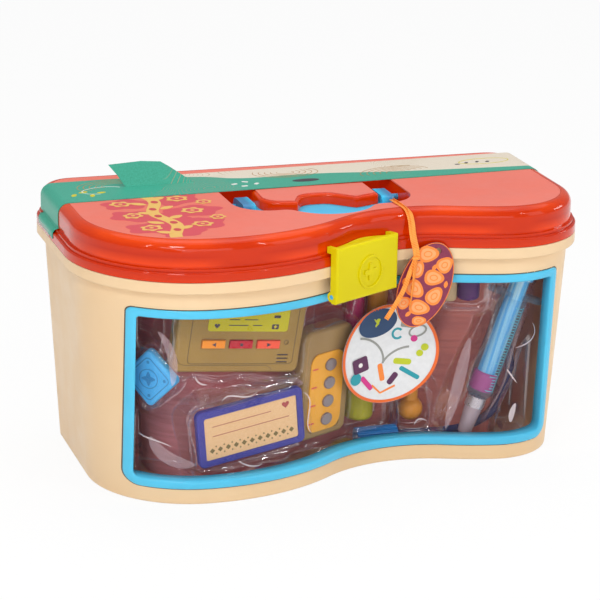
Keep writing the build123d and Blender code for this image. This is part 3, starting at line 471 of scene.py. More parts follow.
def makePiece(name, points, faces, material, body, smooth=True):
    mesh = bpy.data.meshes.new(name)
    mesh.from_pydata(toFrame(points).tolist(), [], faces)
    mesh.polygons.foreach_set("use_smooth", np.full(len(mesh.polygons), smooth))
    mesh.materials.append(material)
    mesh.update()
    piece = bpy.data.objects.new(name, mesh)
    bpy.context.scene.collection.objects.link(piece)
    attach(piece, body)
    return piece


def gridFaces(rows, columns, wrapRows=False, wrapColumns=False):
    # Quads between neighbours of a grid of rows by columns, closed where it wraps
    row = np.arange(rows if wrapRows else rows - 1)
    column = np.arange(columns if wrapColumns else columns - 1)
    r, c = np.meshgrid(row, column, indexing="ij")
    rNext, cNext = (r + 1) % rows, (c + 1) % columns
    quads = np.stack([r * columns + c, r * columns + cNext,
                      rNext * columns + cNext, rNext * columns + c], -1)
    return quads.reshape(-1, 4).tolist()


def solidify(piece, thickMm, offset=-1.0):
    wall = piece.modifiers.new("wall", "SOLIDIFY")
    wall.thickness = thickMm * 0.001
    wall.offset = offset
    return piece


def roundedPath(inset, plan, corner=9, run=60, rise=26):
    # A rounded rectangle as points in x and z, counter-clockwise seen from the front; every
    # inset has the same count, so that insets join into a surface
    left, right = plan["left"] + inset, plan["right"] - inset
    low, high = plan["low"] + inset, plan["high"] - inset
    lowRound = max(plan["lowRound"] - inset, 1.2)
    highRound = max(plan["highRound"] - inset / 3, 1.2)
    corners = ((left, low, lowRound, 180, 1, 1), (right, low, lowRound, 270, -1, 1),
               (right, high, highRound, 0, -1, -1), (left, high, highRound, 90, 1, -1))
    arcs = []
    for x, z, r, start, sideX, sideZ in corners:
        angle = np.radians(start + np.linspace(0, 90, corner))
        arcs.append(np.stack([x + sideX * r + r * np.cos(angle),
                              z + sideZ * r + r * np.sin(angle)], 1))
    parts = []
    for number, arc in enumerate(arcs):
        following = arcs[(number + 1) % 4]
        count = run if number % 2 == 0 else rise
        t = np.linspace(0, 1, count + 2)[1:-1, None]
        parts += [arc, arc[-1] * (1 - t) + following[0] * t]
    return np.concatenate(parts)


# Window frame ----------------------------------------------------------------------------

beadFrame = {
    "left": -139.2, "right": 142.0, "low": 10.3, "high": 125.0, "lowRound": 9.0, "highRound": 3.5,
    # inset from the outer edge, and height over the wall, once round the bead
    "profile": ((3.1, 0.1), (0.2, 0.1), (0.0, 0.35), (0.15, 0.75), (0.6, 1.05), (1.4, 1.2), (2.6, 1.22),
                (3.8, 1.12), (4.7, 0.85), (5.3, 0.35), (5.6, -0.5), (5.8, -3.0), (5.9, -7.9),
                (5.2, -8.0), (3.1, -8.0)),
}


def makeBeadFrame():
    # Each profile point is one ring round the window, laid on the wall at its own height
    rings = []
    for inset, proud in beadFrame["profile"]:
        ring = roundedPath(inset, beadFrame)
        rings.append(np.stack([ring[:, 0], wallY(ring[:, 0], ring[:, 1], proud), ring[:, 1]], 1))
    grid = np.stack(rings)
    faces = gridFaces(len(rings), len(rings[0]), True, True)
    piece = makePiece("beadFrame", grid.reshape(-1, 3), faces, finishes["frame"], "case")
    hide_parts("window_frame")


makeBeadFrame()
print("window frame made")


# Places of the toys ----------------------------------------------------------------------

toys = {
    # place: from the left end, height, setback, turn, roll; then centre, size and thickness
    "pager": {"at": (93.0, 100.0, 23.7, 6.5, -7.0), "centre": (0, 0), "size": (83.0, 49.0), "thick": 10.5,
              "front": 1.5},
    "badge": {"at": (100.0, 40.0, 17.5, 10.0, 6.5), "centre": (0, 0), "size": (72.0, 37.5), "thick": 4.0},
    "tester": {"at": (152.0, 60.0, 16.8, 29.0, -1.5), "centre": (3.0, -2.0), "size": (42.0, 72.0),
               "thick": 12.0},
    "scope": {"at": (186.0, 50.0, 16.9, 8.0, 0.0), "centre": (0.0, 17.0), "size": (20.0, 92.0),
              "thick": 18.6},
    "bulb": {"at": (218.5, 34.0, 17.7, -9.0, 0.0), "centre": (0.0, -4.0), "size": (16.0, 26.0),
             "thick": 16.0},
    "hammer": {"at": (245.0, 115.0, 18.9, -14.0, 0.0), "centre": (0.0, 0.0), "size": (26.0, 30.0),
               "thick": 14.6},
    "syringe": {"at": (251.5, 11.4, 20.2, -6.0, -18.3), "tilt": 0.5, "centre": (0, 60.5),
                "size": (19.0, 127.0), "thick": 9.0, "front": 9.4},
    "block": {"at": (37.0, 75.0, 17.9, -42.0, 45.0), "centre": (0, 0), "size": (27.0, 27.0), "thick": 6.0},
}
draftAngle = math.asin(casePlan["draft"] / math.hypot(casePlan["draft"], casePlan["rimZ"]))


def toyAxes(toy):
    # Origin and the toy's own axes: along the wall, up, and out of the window
    fromLeft, z, setback, turn, roll = toy["at"]
    x = fromLeft - casePlan["half"]
    origin = np.array([x, float(wallY(x, z)) + setback, z])
    turn, roll = math.radians(turn), math.radians(roll)
    tilt = math.radians(toy["tilt"]) if "tilt" in toy else draftAngle
    out = np.array([math.sin(turn) * math.cos(tilt), -math.cos(turn) * math.cos(tilt), -math.sin(tilt)])
    flat = np.array([math.cos(turn), math.sin(turn), 0.0])
    up = np.cross(out, flat)
    along = math.cos(roll) * flat + math.sin(roll) * up
    return origin, along, np.cross(out, along), out


def toyPlace(name):
    origin, along, up, out = toyAxes(toys[name])

    def place(u, v, h):
        return origin + np.multiply.outer(u, along) + np.multiply.outer(v, up) + np.multiply.outer(h, out)
    return place


# Clear tray ------------------------------------------------------------------------------

clearTray = {
    "sideY": 2.6, "step": 1.35, "low": 2.8, "high": 133.0, "lip": 9.7, "depth": 36.0,
    "rimHeight": 6.5, "rimAway": 4.2, "rimWidth": 1.7, "slope": 5.0,
}


def smoothStep(value, start, end):
    t = np.clip((value - start) / (end - start), 0, 1)
    return t * t * (3 - 2 * t)


def roundedDistance(u, v, size, corner=5.0):
    # Distance outside a rounded rectangle, negative inside
    overU = np.abs(u) - size[0] / 2 + corner
    overV = np.abs(v) - size[1] / 2 + corner
    outside = np.hypot(np.maximum(overU, 0), np.maximum(overV, 0))
    return outside + np.minimum(np.maximum(overU, overV), 0) - corner


def makeClearTray():
    # The sheet hangs a depth behind the wall, along the wall's normal. It comes forward to each
    # toy's back face, and stands up in a soft rim round the toy's outline
    tray = clearTray
    path, normal = wallPath(tray["sideY"], tray["step"])
    rows = np.concatenate([tray["low"] + np.array([0, 0.3, 0.8, 1.4]), np.linspace(5.4, 130.4, 100),
                           tray["high"] - np.array([1.4, 0.8, 0.3, 0])])
    z = np.repeat(rows[:, None], len(path), 1)
    lean = casePlan["draft"] * (1 - z / casePlan["rimZ"])
    wall = np.stack([path[:, 0] + normal[:, 0] * lean, path[:, 1] + normal[:, 1] * lean, z], -1)
    inward = np.broadcast_to(np.concatenate([normal, np.zeros((len(path), 1))], 1), wall.shape)
    ripple = 0.9 * np.sin(path[:, 0] / 9.0 + 1.3 * np.sin(z / 21.0)) * np.sin(z / 13.0 + path[:, 0] / 31.0)
    depth = tray["depth"] - 1.0 + ripple
    rim = np.zeros(z.shape)
    seats = []
    for toy in toys.values():
        origin, along, up, out = toyAxes(toy)
        back = toy["thick"] + 0.9
        seat = (-back - (wall - origin) @ out) / (inward @ out)
        spot = wall + inward * seat[..., None] - origin
        away = roundedDistance(spot @ along - toy["centre"][0], spot @ up - toy["centre"][1], toy["size"])
        away = away + 0.8 * np.sin((spot @ along) / 6.0) * np.sin((spot @ up) / 7.5)
        near = 1 - smoothStep(away, 1.0, tray["slope"] + 6.0)
        depth = np.minimum(depth, depth * (1 - near) + np.minimum(seat + 1.2, depth) * near)
        rim = np.maximum(rim, np.exp(-((away - tray["rimAway"]) / tray["rimWidth"]) ** 2))
        seats.append((away, seat))
    depth = depth - tray["rimHeight"] * rim
    for away, seat in seats:
        over = 1 - smoothStep(away, 1.2, 3.0)
        depth = np.maximum(depth, np.minimum(seat + 0.3, tray["depth"] - 0.4) * over)
    edge = np.minimum(z - tray["low"], tray["high"] - z)
    depth = tray["lip"] + (np.maximum(depth, tray["lip"] + 1) - tray["lip"]) * smoothStep(edge, 0.0, 1.4)
    points = wall + inward * depth[..., None]
    piece = makePiece("formedTray", points.reshape(-1, 3), gridFaces(*z.shape), finishes["tray"],
                      "case")
    keepRidge(piece, rim)
    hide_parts("tray")


makeClearTray()
print("clear tray made")

clearCover = {
    "left": -131.0, "right": 131.0, "low": 11.5, "high": 127.5, "columns": 300, "rows": 140,
    "between": 27.0, "least": 11.0, "clear": 2.2, "slope": 9.0, "rimAway": 3.2, "rimWidth": 1.6,
    "rimHeight": 2.6,
}


def makeClearCover():
    # The front half of the blister: it swells over each toy, falls back between them, and has
    # a wavering ridge round each swelling
    cover = clearCover
    x, z = np.meshgrid(np.linspace(cover["left"], cover["right"], cover["columns"]),
                       np.linspace(cover["low"], cover["high"], cover["rows"]))
    wall = np.stack([x, wallY(x, z), z], -1)
    slant = np.hypot(1.0, np.gradient(wall[..., 1], axis=1) / np.gradient(x, axis=1))
    least = cover["least"] * slant
    wave = np.sin(x / 11.0 + 1.7 * np.sin(z / 17.0)) * np.sin(z / 9.0 + x / 37.0)
    depth = (cover["between"] + 1.6 * wave) * slant
    rim = np.zeros(x.shape)
    for toy in toys.values():
        origin, along, up, out = toyAxes(toy)
        front = toy.get("front", 0.0) + cover["clear"]
        seat = (front - (wall - origin) @ out) / out[1]
        spot = wall - origin
        spot[..., 1] += seat
        away = roundedDistance(spot @ along - toy["centre"][0], spot @ up - toy["centre"][1], toy["size"])
        waver = 1.2 * np.sin((spot @ along) / 5.0 + 1.0) * np.sin((spot @ up) / 6.0)
        near = 1 - smoothStep(away + waver, 2.0, 2.0 + cover["slope"])
        seat = np.maximum(seat, least)
        depth = np.minimum(depth, depth * (1 - near) + seat * near)
        ridge = np.exp(-((away + waver - cover["rimAway"]) / cover["rimWidth"]) ** 2)
        rim = np.maximum(rim, ridge)
    depth = np.maximum(depth - cover["rimHeight"] * rim, least)
    edge = np.minimum(np.minimum(x - cover["left"], cover["right"] - x),
                      np.minimum(z - cover["low"], cover["high"] - z))
    depth = least + (depth - least) * smoothStep(edge, 0.5, 7.0)
    wall[..., 1] += depth
    piece = makePiece("formedCover", wall.reshape(-1, 3), gridFaces(*x.shape), finishes["film"],
                      "case")
    slopeZ, slopeX = np.gradient(depth)
    keepRidge(piece, smoothStep(np.hypot(slopeX, slopeZ), 0.35, 1.3))


makeClearCover()
clearPane = {"left": -135.4, "right": 138.2, "low": 14.1, "high": 121.2, "setback": 8.15}


def makeClearPane():
    # One skin stands for the thin pane, and carries all of its shine
    pane = clearPane
    x, z = np.meshgrid(np.linspace(pane["left"], pane["right"], 140),
                       np.linspace(pane["low"], pane["high"], 24))
    y = wallY(x, z, -pane["setback"])
    piece = makePiece("clearPane", np.stack([x, y, z], -1).reshape(-1, 3), gridFaces(*x.shape),
                      finishes["window"], "case")
    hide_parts("window_pane")


makeClearPane()
clearBarrel = {"profile": ((6.3, 26.1), (6.6, 26.6), (8.8, 29.7), (9.0, 30.3), (9.0, 95.0)),
               "bar": (37.0, 10.5, 3.0), "barRound": 4.8, "bore": 8.0, "around": 72}


def makeClearBarrel():
    # The syringe's barrel is one clear skin turned about its axis. The finger bar is a rounded
    # rectangle with a round hole, its outline drawn by angle
    syringe = toyPlace("syringe")
    angle = np.linspace(0, 2 * np.pi, clearBarrel["around"], endpoint=False)
    profile = np.array(clearBarrel["profile"])
    radius, high = profile[:, :1], profile[:, 1:]
    points = syringe(radius * np.sin(angle), high + 0 * angle, radius * np.cos(angle))
    piece = makePiece("clearBarrel", points.reshape(-1, 3),
                      gridFaces(len(profile), len(angle), False, True), finishes["barrel"], "case")
    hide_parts("syringe_barrel")
    wide, deep, tall = clearBarrel["bar"]
    corner, top = clearBarrel["barRound"], clearBarrel["profile"][-1][1]
    outU = np.sign(np.sin(angle)) * (wide / 2 - corner) + corner * np.sin(angle)
    outH = np.sign(np.cos(angle)) * (deep / 2 - corner) + corner * np.cos(angle)
    inU, inH = clearBarrel["bore"] * np.sin(angle), clearBarrel["bore"] * 0.62 * np.cos(angle)
    rings = ((inU, inH, top), (outU, outH, top), (outU, outH, top + tall), (inU, inH, top + tall))
    points = np.stack([syringe(u, level + 0 * u, h) for u, h, level in rings])
    makePiece("fingerBar", points.reshape(-1, 3), gridFaces(4, len(angle), True, True),
              finishes["barrel"], "case", False)


makeClearBarrel()
print("clear pieces made")


def onWall(u, v, h):
    return np.stack([u, wallY(u, v, h), v], -1)


# Prints ----------------------------------------------------------------------------------
# A printed shape is a flat patch of ink: points in the print's own plane, and its faces.

def patch(outlineU, outlineV, centre):
    # A star-shaped outline closed onto its centre
    count = len(outlineU)
    points = np.concatenate([np.stack([outlineU, outlineV], 1), [centre]])
    ring = np.arange(count)
    return points, np.stack([ring, (ring + 1) % count, np.full(count, count)], 1).tolist()


def oval(u, v, wide, high=None, turn=0.0, lobes=0, deep=0.0, steps=36):
    # An ellipse, or a flower whose radius waves lobes times round
    high = wide if high is None else high
    angle = np.linspace(0, 2 * np.pi, steps, endpoint=False)
    radius = 1 + deep * np.cos(lobes * angle)
    x, y = wide * radius * np.cos(angle), high * radius * np.sin(angle)
    turn = math.radians(turn)
    return patch(u + x * math.cos(turn) - y * math.sin(turn),
                 v + x * math.sin(turn) + y * math.cos(turn), (u, v))


def band(inner, outer, closed):
    # The strip between two lines of as many points
    count = len(inner)
    points = np.concatenate([outer, inner])
    first = np.arange(count if closed else count - 1)
    second = (first + 1) % count
    return points, np.stack([first, second, second + count, first + count], 1).tolist()


def hoop(u, v, wide, high, width, turn=0.0, start=0.0, end=360.0, steps=40):
    # A ring, or a part of one
    closed = end - start >= 360
    angle = np.radians(np.linspace(start, end, steps, endpoint=not closed))
    turn = math.radians(turn)
    lines = []
    for less in (width, 0.0):
        x, y = (wide - less) * np.cos(angle), (high - less) * np.sin(angle)
        lines.append(np.stack([u + x * math.cos(turn) - y * math.sin(turn),
                               v + x * math.sin(turn) + y * math.cos(turn)], 1))
    return band(lines[0], lines[1], closed)


def stroke(points, width):
    # A line of even width through the points
    points = np.asarray(points, float)
    along = np.gradient(points, axis=0)
    along /= np.linalg.norm(along, axis=1)[:, None]
    across = np.stack([-along[:, 1], along[:, 0]], 1) * width / 2
    return band(points + across, points - across, False)


def tile(u, v, wide, high, corner=0.4, turn=0.0):
    # A rounded box
    angle = np.radians(np.linspace(0, 90, 5))
    x, y = [], []
    for quarter, (sideX, sideY) in enumerate(((1, 1), (-1, 1), (-1, -1), (1, -1))):
        x.append(sideX * (wide / 2 - corner) + corner * np.cos(angle + quarter * np.pi / 2))
        y.append(sideY * (high / 2 - corner) + corner * np.sin(angle + quarter * np.pi / 2))
    x, y = np.concatenate(x), np.concatenate(y)
    turn = math.radians(turn)
    return patch(u + x * math.cos(turn) - y * math.sin(turn),
                 v + x * math.sin(turn) + y * math.cos(turn), (u, v))


def heart(u, v, size, turn=0.0):
    t = np.linspace(0, 2 * np.pi, 40, endpoint=False)
    x = 16 * np.sin(-t) ** 3
    y = 13 * np.cos(t) - 5 * np.cos(2 * t) - 2 * np.cos(3 * t) - np.cos(4 * t)
    turn = math.radians(turn)
    x, y = x * size / 32, y * size / 32
    return patch(u + x * math.cos(turn) - y * math.sin(turn),
                 v + x * math.sin(turn) + y * math.cos(turn), (u, v))


def leaf(u, v, long, wide, turn=0.0):
    # Pointed at both ends: half-widths follow a sine along its length
    t = np.linspace(0, 2 * np.pi, 32, endpoint=False)
    x, y = long / 2 * np.cos(t), wide / 2 * np.sin(t) * np.abs(np.sin(t)) ** 0.6
    turn = math.radians(turn)
    return patch(u + x * math.cos(turn) - y * math.sin(turn),
                 v + x * math.sin(turn) + y * math.cos(turn), (u, v))


def facingOut(flat, cells):
    # The cells' corners, anticlockwise in the print's plane
    corner = flat[np.array(cells)]
    u, v = corner[..., 0], corner[..., 1]
    area = float(np.sum(u * np.roll(v, -1, 1) - np.roll(u, -1, 1) * v))
    return cells if area > 0 else [cell[::-1] for cell in cells]


def printOn(name, ink, shapes, place, body, lift=0.08, thick=0.12):
    # The shapes become one thin piece of ink, lifted off the surface that place describes
    points, faces, count = [], [], 0
    for number, (flat, cells) in enumerate(shapes):
        height = np.full(len(flat), lift + 0.003 * number)
        points.append(place(flat[:, 0], flat[:, 1], height))
        faces += [[corner + count for corner in cell] for cell in facingOut(flat, cells)]
        count += len(flat)
    material = inkMaterials[ink] if ink in inkMaterials else finishes[ink]
    piece = makePiece(name, np.concatenate(points), faces, material, body, False)
    return solidify(piece, thick)


def onLid(u, v, h):
    return np.stack([u, v, casePlan["lidTop"] + h], -1)


def onSleeve(u, v, h):
    return np.stack([u, v, casePlan["lidTop"] + 0.5 + h], -1)


latchFace = {"x": 10.2, "setout": 14.9, "turn": 28.0, "z": 136.0}


def onLatch(u, v, h):
    turn = math.radians(latchFace["turn"])
    along = np.array([math.cos(turn), math.sin(turn), 0.0])
    out = np.array([math.sin(turn), -math.cos(turn), 0.0])
    y = float(wallY(latchFace["x"], casePlan["rimZ"])) - latchFace["setout"]
    origin = np.array([latchFace["x"], y, latchFace["z"]])
    return (origin + np.multiply.outer(u, along) + np.multiply.outer(v, (0, 0, 1.0))
            + np.multiply.outer(h, out))


def makeLatchEmblem():
    # A raised ring with a plain cross, moulded with the latch
    ring = [hoop(2, 0, 10.5, 10.5, 1.3, 0, 0, 360, 60)]
    cross = [tile(2, 0, 3.2, 11.0, 0.9), tile(2, 0, 11.0, 3.2, 0.9)]
    printOn("latchEmblem", "latch", ring, onLatch, "latch", 0.9, 1.1)
    printOn("latchCross", "latch", cross, onLatch, "latch", 0.95, 1.1)


makeLatchEmblem()
labelPlan = {"x": 36.5, "z": 71.0, "radius": 33.0, "setback": 7.8}


def onLabel(u, v, h):
    x, z = labelPlan["x"] + u, labelPlan["z"] + v
    return np.stack([x, wallY(x, z) + labelPlan["setback"] - h, z], -1)


tagPlan = {"x": 52.0, "y": -53.2, "z": 121.0, "turn": -5.0, "tilt": -20.0, "thick": 1.0}


def onTag(u, v, h):
    turn, tilt = math.radians(tagPlan["turn"]), math.radians(tagPlan["tilt"])
    along = np.array([math.cos(turn), math.sin(turn), 0.0])
    out = np.array([math.sin(turn), -math.cos(turn), 0.0])
    a = u * math.cos(tilt) - v * math.sin(tilt)
    b = u * math.sin(tilt) + v * math.cos(tilt)
    origin = np.array([tagPlan["x"], tagPlan["y"], tagPlan["z"]])
    return (origin + np.multiply.outer(a, along) + np.multiply.outer(b, (0, 0, 1.0))
            + np.multiply.outer(h + tagPlan["thick"], out))


def makeLidPrint():
    # A vine runs down the pink inlay's left half, with ringed flowers on clouds of rose
    t = np.linspace(0, 1, 60)
    vine = np.stack([-107 + 3.5 * np.sin(t * 11.0), 24 - 96 * t], 1)
    clouds = [oval(u, v, a, b, turn, 5, 0.13) for u, v, a, b, turn in (
        (-122, 7, 15, 11, 10), (-89, 11, 17, 11, 40), (-123, -21, 15, 12, -20), (-86, -17, 18, 12, 10),
        (-118, -49, 17, 12, 0), (-89, -47, 17, 12, 30), (-104, -63, 14, 8, 12), (-105, -34, 13, 17, 0))]
    flowers = ((-125, 8, 6.4, 0), (-88, 13, 6.8, 20), (-124, -20, 6.2, 40), (-86, -16, 6.8, 10),
               (-120, -49, 6.6, 30), (-88, -47, 6.2, 0), (-74, 2, 5.0, 15), (-75, -34, 5.2, 50))
    petals = [oval(u, v, a, a * 0.86, turn, 6, 0.14) for u, v, a, turn in flowers]
    rounds = [oval(u, v, a * 0.62, a * 0.52) for u, v, a, turn in flowers]
    seeds = [oval(u, v, a * 0.2) for u, v, a, turn in flowers]
    seeds += [oval(-107 + 3.5 * math.sin(k * 1.83), 24 - 16 * k, 2.3, 3.0) for k in range(1, 6)]
    leaves = [leaf(-107 + side * 7.5, y, 11, 5.4, 32 * side) for y, side in (
        (16, 1), (6, -1), (-6, 1), (-16, -1), (-28, 1), (-38, -1), (-52, 1), (-60, -1))]
    printOn("lidClouds", "rose", clouds, onLid, "lid", 0.05, 0.03)
    printOn("lidVine", "butter", [stroke(vine, 7.6)], onLid, "lid", 0.09, 0.03)
    printOn("lidLeaves", "butter", leaves, onLid, "lid", 0.13, 0.03)
    printOn("lidPetals", "butter", petals, onLid, "lid", 0.17, 0.03)
    printOn("lidRounds", "rose", rounds, onLid, "lid", 0.21, 0.03)
    printOn("lidSeeds", "butter", seeds[:len(flowers)], onLid, "lid", 0.25, 0.03)
    printOn("lidBuds", "roseDeep", seeds[len(flowers):], onLid, "lid", 0.17, 0.03)


makeLidPrint()
# Painted highlights on the clear sheet: thin white glints, and softer wide painted sheens
paintedGlints = (((-129, 41.4), (-125.3, 39), (-119.5, 37.4), (-111.4, 34.4)),
           ((129.5, 86.8), (132, 80.7), (130.2, 75.1), (123.6, 73.9), (116.9, 72.3)),
           ((112.2, 58.6), (115.3, 54.2), (120.2, 48)), ((-99.2, 80.8), (-96.7, 76.3), (-91.9, 74.8)),
           ((-82.5, 63.1), (-76.3, 66.4), (-67.9, 64.7), (-59.5, 67.4)),
           ((-27.3, 60.2), (-21.4, 50.6), (-22.5, 40.2), (-18.8, 30.3)),
           ((-71.2, 23.2), (-62.6, 18.6), (-55.1, 18.6)), ((56.9, 20.5), (59.9, 24.5), (64.9, 23)))
paintedSheens = ((((87.5, 80), (84.5, 62), (80.9, 40.6), (76.5, 18)), 7.0),
         (((-123, 40), (-117, 30), (-108, 24.5), (-98, 23)), 8.0),
         (((-120, 108), (-114, 98), (-111.5, 86), (-112, 74)), 5.0),
         (((33, 76), (38, 66), (40, 52), (38.5, 38)), 4.0))


def paintedStreak(points, width):
    # A smooth cubic through the points, whose width swells from nothing and back: the square
    # root of a sine
    t, spots = np.linspace(0, 1, len(points)), np.array(points, float)
    fine = np.linspace(0, 1, 30)
    u, v = [np.polyval(np.polyfit(t, spots[:, k], min(len(points) - 1, 3)), fine) for k in (0, 1)]
    line = np.stack([u, v], 1)
    along = np.gradient(line, axis=0)
    along /= np.linalg.norm(along, axis=1)[:, None]
    half = (width / 2 * np.sqrt(np.sin(np.pi * np.clip(fine, 0.004, 0.996))))[:, None]
    across = np.stack([-along[:, 1], along[:, 0]], 1) * half
    return band(line + across, line - across, False)


def insideSheet(u, v, h):
    return onWall(u, v, h - 8.7)


# Painted highlights: thin white glints, and wider pale painted sheens
def makePaintedGlints():
    lines = [paintedStreak(points, 1.0) for points in paintedGlints]
    lines.append(paintedStreak(((120.2, 34), (118, 28), (117.5, 21.5)), 4.2))
    printOn("sheetPaintedGlints", "crease", lines, insideSheet, "case", 0.0, 0.05)
    wide = [paintedStreak(points, width) for points, width in paintedSheens]
    printOn("sheetPaintedSheens", "fold", wide, insideSheet, "case", 0.0, 0.05)


makePaintedGlints()
# Painted shadow: a thin dark line round the window frame's outer edge, where the frame meets the tub
shadowRing = [band(roundedPath(0.1, beadFrame), roundedPath(-0.45, beadFrame), True)]
printOn("frameShadowLine", "gap", shadowRing, onWall, "case", 0.05, 0.04)


sleeveFoot = {"front": 18.6, "back": 60.0, "thick": 0.16,
              "profile": ((-161.95, 153.4), (-161.95, 151.9), (-162.6, 151.55), (-163.6, 151.5),
                          (-164.8, 149.9), (-165.12, 149.2), (-165.12, 145.6))}


def makeSleeveFoot():
    # The sleeve's left end bends out over the rim and down its side
    profile = np.array(sleeveFoot["profile"])
    y = np.linspace(sleeveFoot["front"], sleeveFoot["back"], 12)
    points = np.stack([np.repeat(profile[:, :1], 12, 1), np.repeat(y[None], len(profile), 0),
                       np.repeat(profile[:, 1:], 12, 1)], -1)
    piece = makePiece("sleeveFoot", points.reshape(-1, 3), gridFaces(len(profile), 12),
                      finishes["sleeve"], "lid")
    solidify(piece, sleeveFoot["thick"], 0.0)


makeSleeveFoot()


def makeSleevePrint():
    leaves = [leaf(u, v, 6.5, 3.2, t) for u, v, t in ((-148, 34, 60), (-141, 40, 20), (-137, 31, 75),
                                                      (-130, 37, 15))]
    seeds = [tile(u, v, 4.2, 2.4, 0.9, t) for u, v, t in ((-44, 37, 20), (-36, 41, -30), (-30, 35, 45),
                                                        (-39, 31, 10))]
    button = [oval(3, 36, 9, 3.4, 2)]
    marks = [tile(x, 52 + 3 * math.sin(x / 9), 3.4, 2.0, 0.8, x * 7 % 60) for x in (112, 119, 127, 134)]
    loops = [hoop(132, 56, 18, 7, 0.7, 4), hoop(-96, 62, 13, 6, 0.6, 8)]
    frameLine = [hoop(-128, 42, 14, 8, 0.5, 12, 20, 250)]
    contours = [hoop(-118, 52, 9 + 4 * k, 5 + 2.4 * k, 0.5, 10, -30, 210) for k in range(5)]
    contours += [hoop(-4, 58, 6 + 4 * k, 3.4 + 2.2 * k, 0.5, 0, 160, 395) for k in range(5)]
    contours += [hoop(66, 42, 7 + 4.5 * k, 4 + 2.6 * k, 0.5, 8, 10, 190) for k in range(5)]
    printOn("sleeveLeaves", "lemon", leaves, onSleeve, "lid")
    printOn("sleeveSeeds", "white", seeds + frameLine, onSleeve, "lid")
    printOn("sleeveButton", "ink", button + marks, onSleeve, "lid")
    printOn("sleeveLoops", "lemon", loops, onSleeve, "lid")
    printOn("sleeveContours", "tan", contours, onSleeve, "lid", 0.05, 0.06)


makeSleevePrint()


def makeLabelPrint():
    # White ground with an orange rim, a navy oval and small pictures of play tools
    rim = [hoop(0, 0, 32.9, 32.9, 1.9, 0, 0, 360, 90)]
    badge = [oval(-8, 21.5, 13.5, 9.0, 14)]
    stars = [heart(-9, 22, 6.5), oval(-16, 19.5, 1.3), oval(-1, 25, 1.3)]
    t = np.linspace(0, 1, 40)
    tube = np.stack([-20 + 34 * t + 6 * np.sin(t * 6.3), 6 - 9 * t + 7 * np.cos(t * 6.0)], 1)
    plum = [tile(-19, -5, 11, 10, 1.5, 12), tile(4, -17, 4, 9, 1.6, -38)]
    rose = [oval(-19, -5, 3.2), tile(-14, -18, 3.2, 12, 1.2, 40), oval(17, 9, 2.2)]
    sea = [oval(-22, -14, 4.0), tile(15, -14, 3.0, 15, 1.2, 58), hoop(6, 13, 4, 4, 1.5, 0, 40, 320)]
    lime = [tile(10, -6, 12, 4, 1.8, -8), oval(24, 3, 2.4), oval(21, -1, 2.2)]
    amber = [tile(-4, -12, 3.4, 12, 1.2, 12), stroke(((-10, -20), (-4, -26), (6, -22)), 1.3)]
    steel = [stroke(tube, 1.4), hoop(19, 14, 6, 4, 1.2, 20), tile(12, 19, 8, 4.6, 1.2, -10)]
    for name, ink, shapes in (("labelRim", "orange", rim), ("labelOval", "navy", badge),
                              ("labelPlum", "plum", plum), ("labelRose", "magenta", rose),
                              ("labelSea", "teal", sea), ("labelLime", "limeInk", lime),
                              ("labelAmber", "tangerine", amber), ("labelSteel", "steel", steel)):
        printOn(name, ink, shapes, onLabel, "case", 0.07)
    printOn("labelStars", "limeInk", stars, onLabel, "case", 0.14)
    printOn("labelEye", "white", [oval(-19, -5, 1.5), heart(-19, -5, 2.0)], onLabel, "case",
            0.14)


makeLabelPrint()


def makeTagPrint():
    # Orange pebbles with peach hearts packed on a maroon ground, leaves in the gaps
    pebbles = ((-5.5, 19.0, 6.6, 5.2, 20), (7.2, 15.6, 5.4, 5.0, 60), (-8.6, 7.6, 5.6, 4.6, 80),
               (3.6, 6.0, 6.4, 5.0, 10), (-5.6, -4.2, 6.6, 5.2, -25), (8.2, -5.0, 6.2, 5.0, 70),
               (1.6, -14.6, 6.8, 4.8, 5), (-8.8, -14.6, 4.4, 4.0, 40), (4.6, -22.6, 4.6, 2.9, 20))
    outer = [oval(u, v, a, b, turn, 3, 0.07) for u, v, a, b, turn in pebbles]
    inner = [oval(u, v, a * 0.72, b * 0.7, turn, 3, 0.07) for u, v, a, b, turn in pebbles]
    rings = [hoop(u, v, a * 0.42, b * 0.4, 0.7, turn) for u, v, a, b, turn in pebbles]
    small = [leaf(u, v, 4.6, 2.6, turn) for u, v, turn in ((1.6, 12.2, 80), (12.6, 4.2, 100),
                                                           (-13.4, -1.5, 90), (-3.4, -20.5, 60))]
    rim = [hoop(0, 0, 16.4, 27.9, 0.45, 0, 0, 360, 80)]
    printOn("tagPebbles", "tangerine", outer + small + rim, onTag, "lid", 0.06)
    printOn("tagHearts", "peach", inner, onTag, "lid", 0.11)
    printOn("tagRings", "tangerine", rings, onTag, "lid", 0.16)


makeTagPrint()


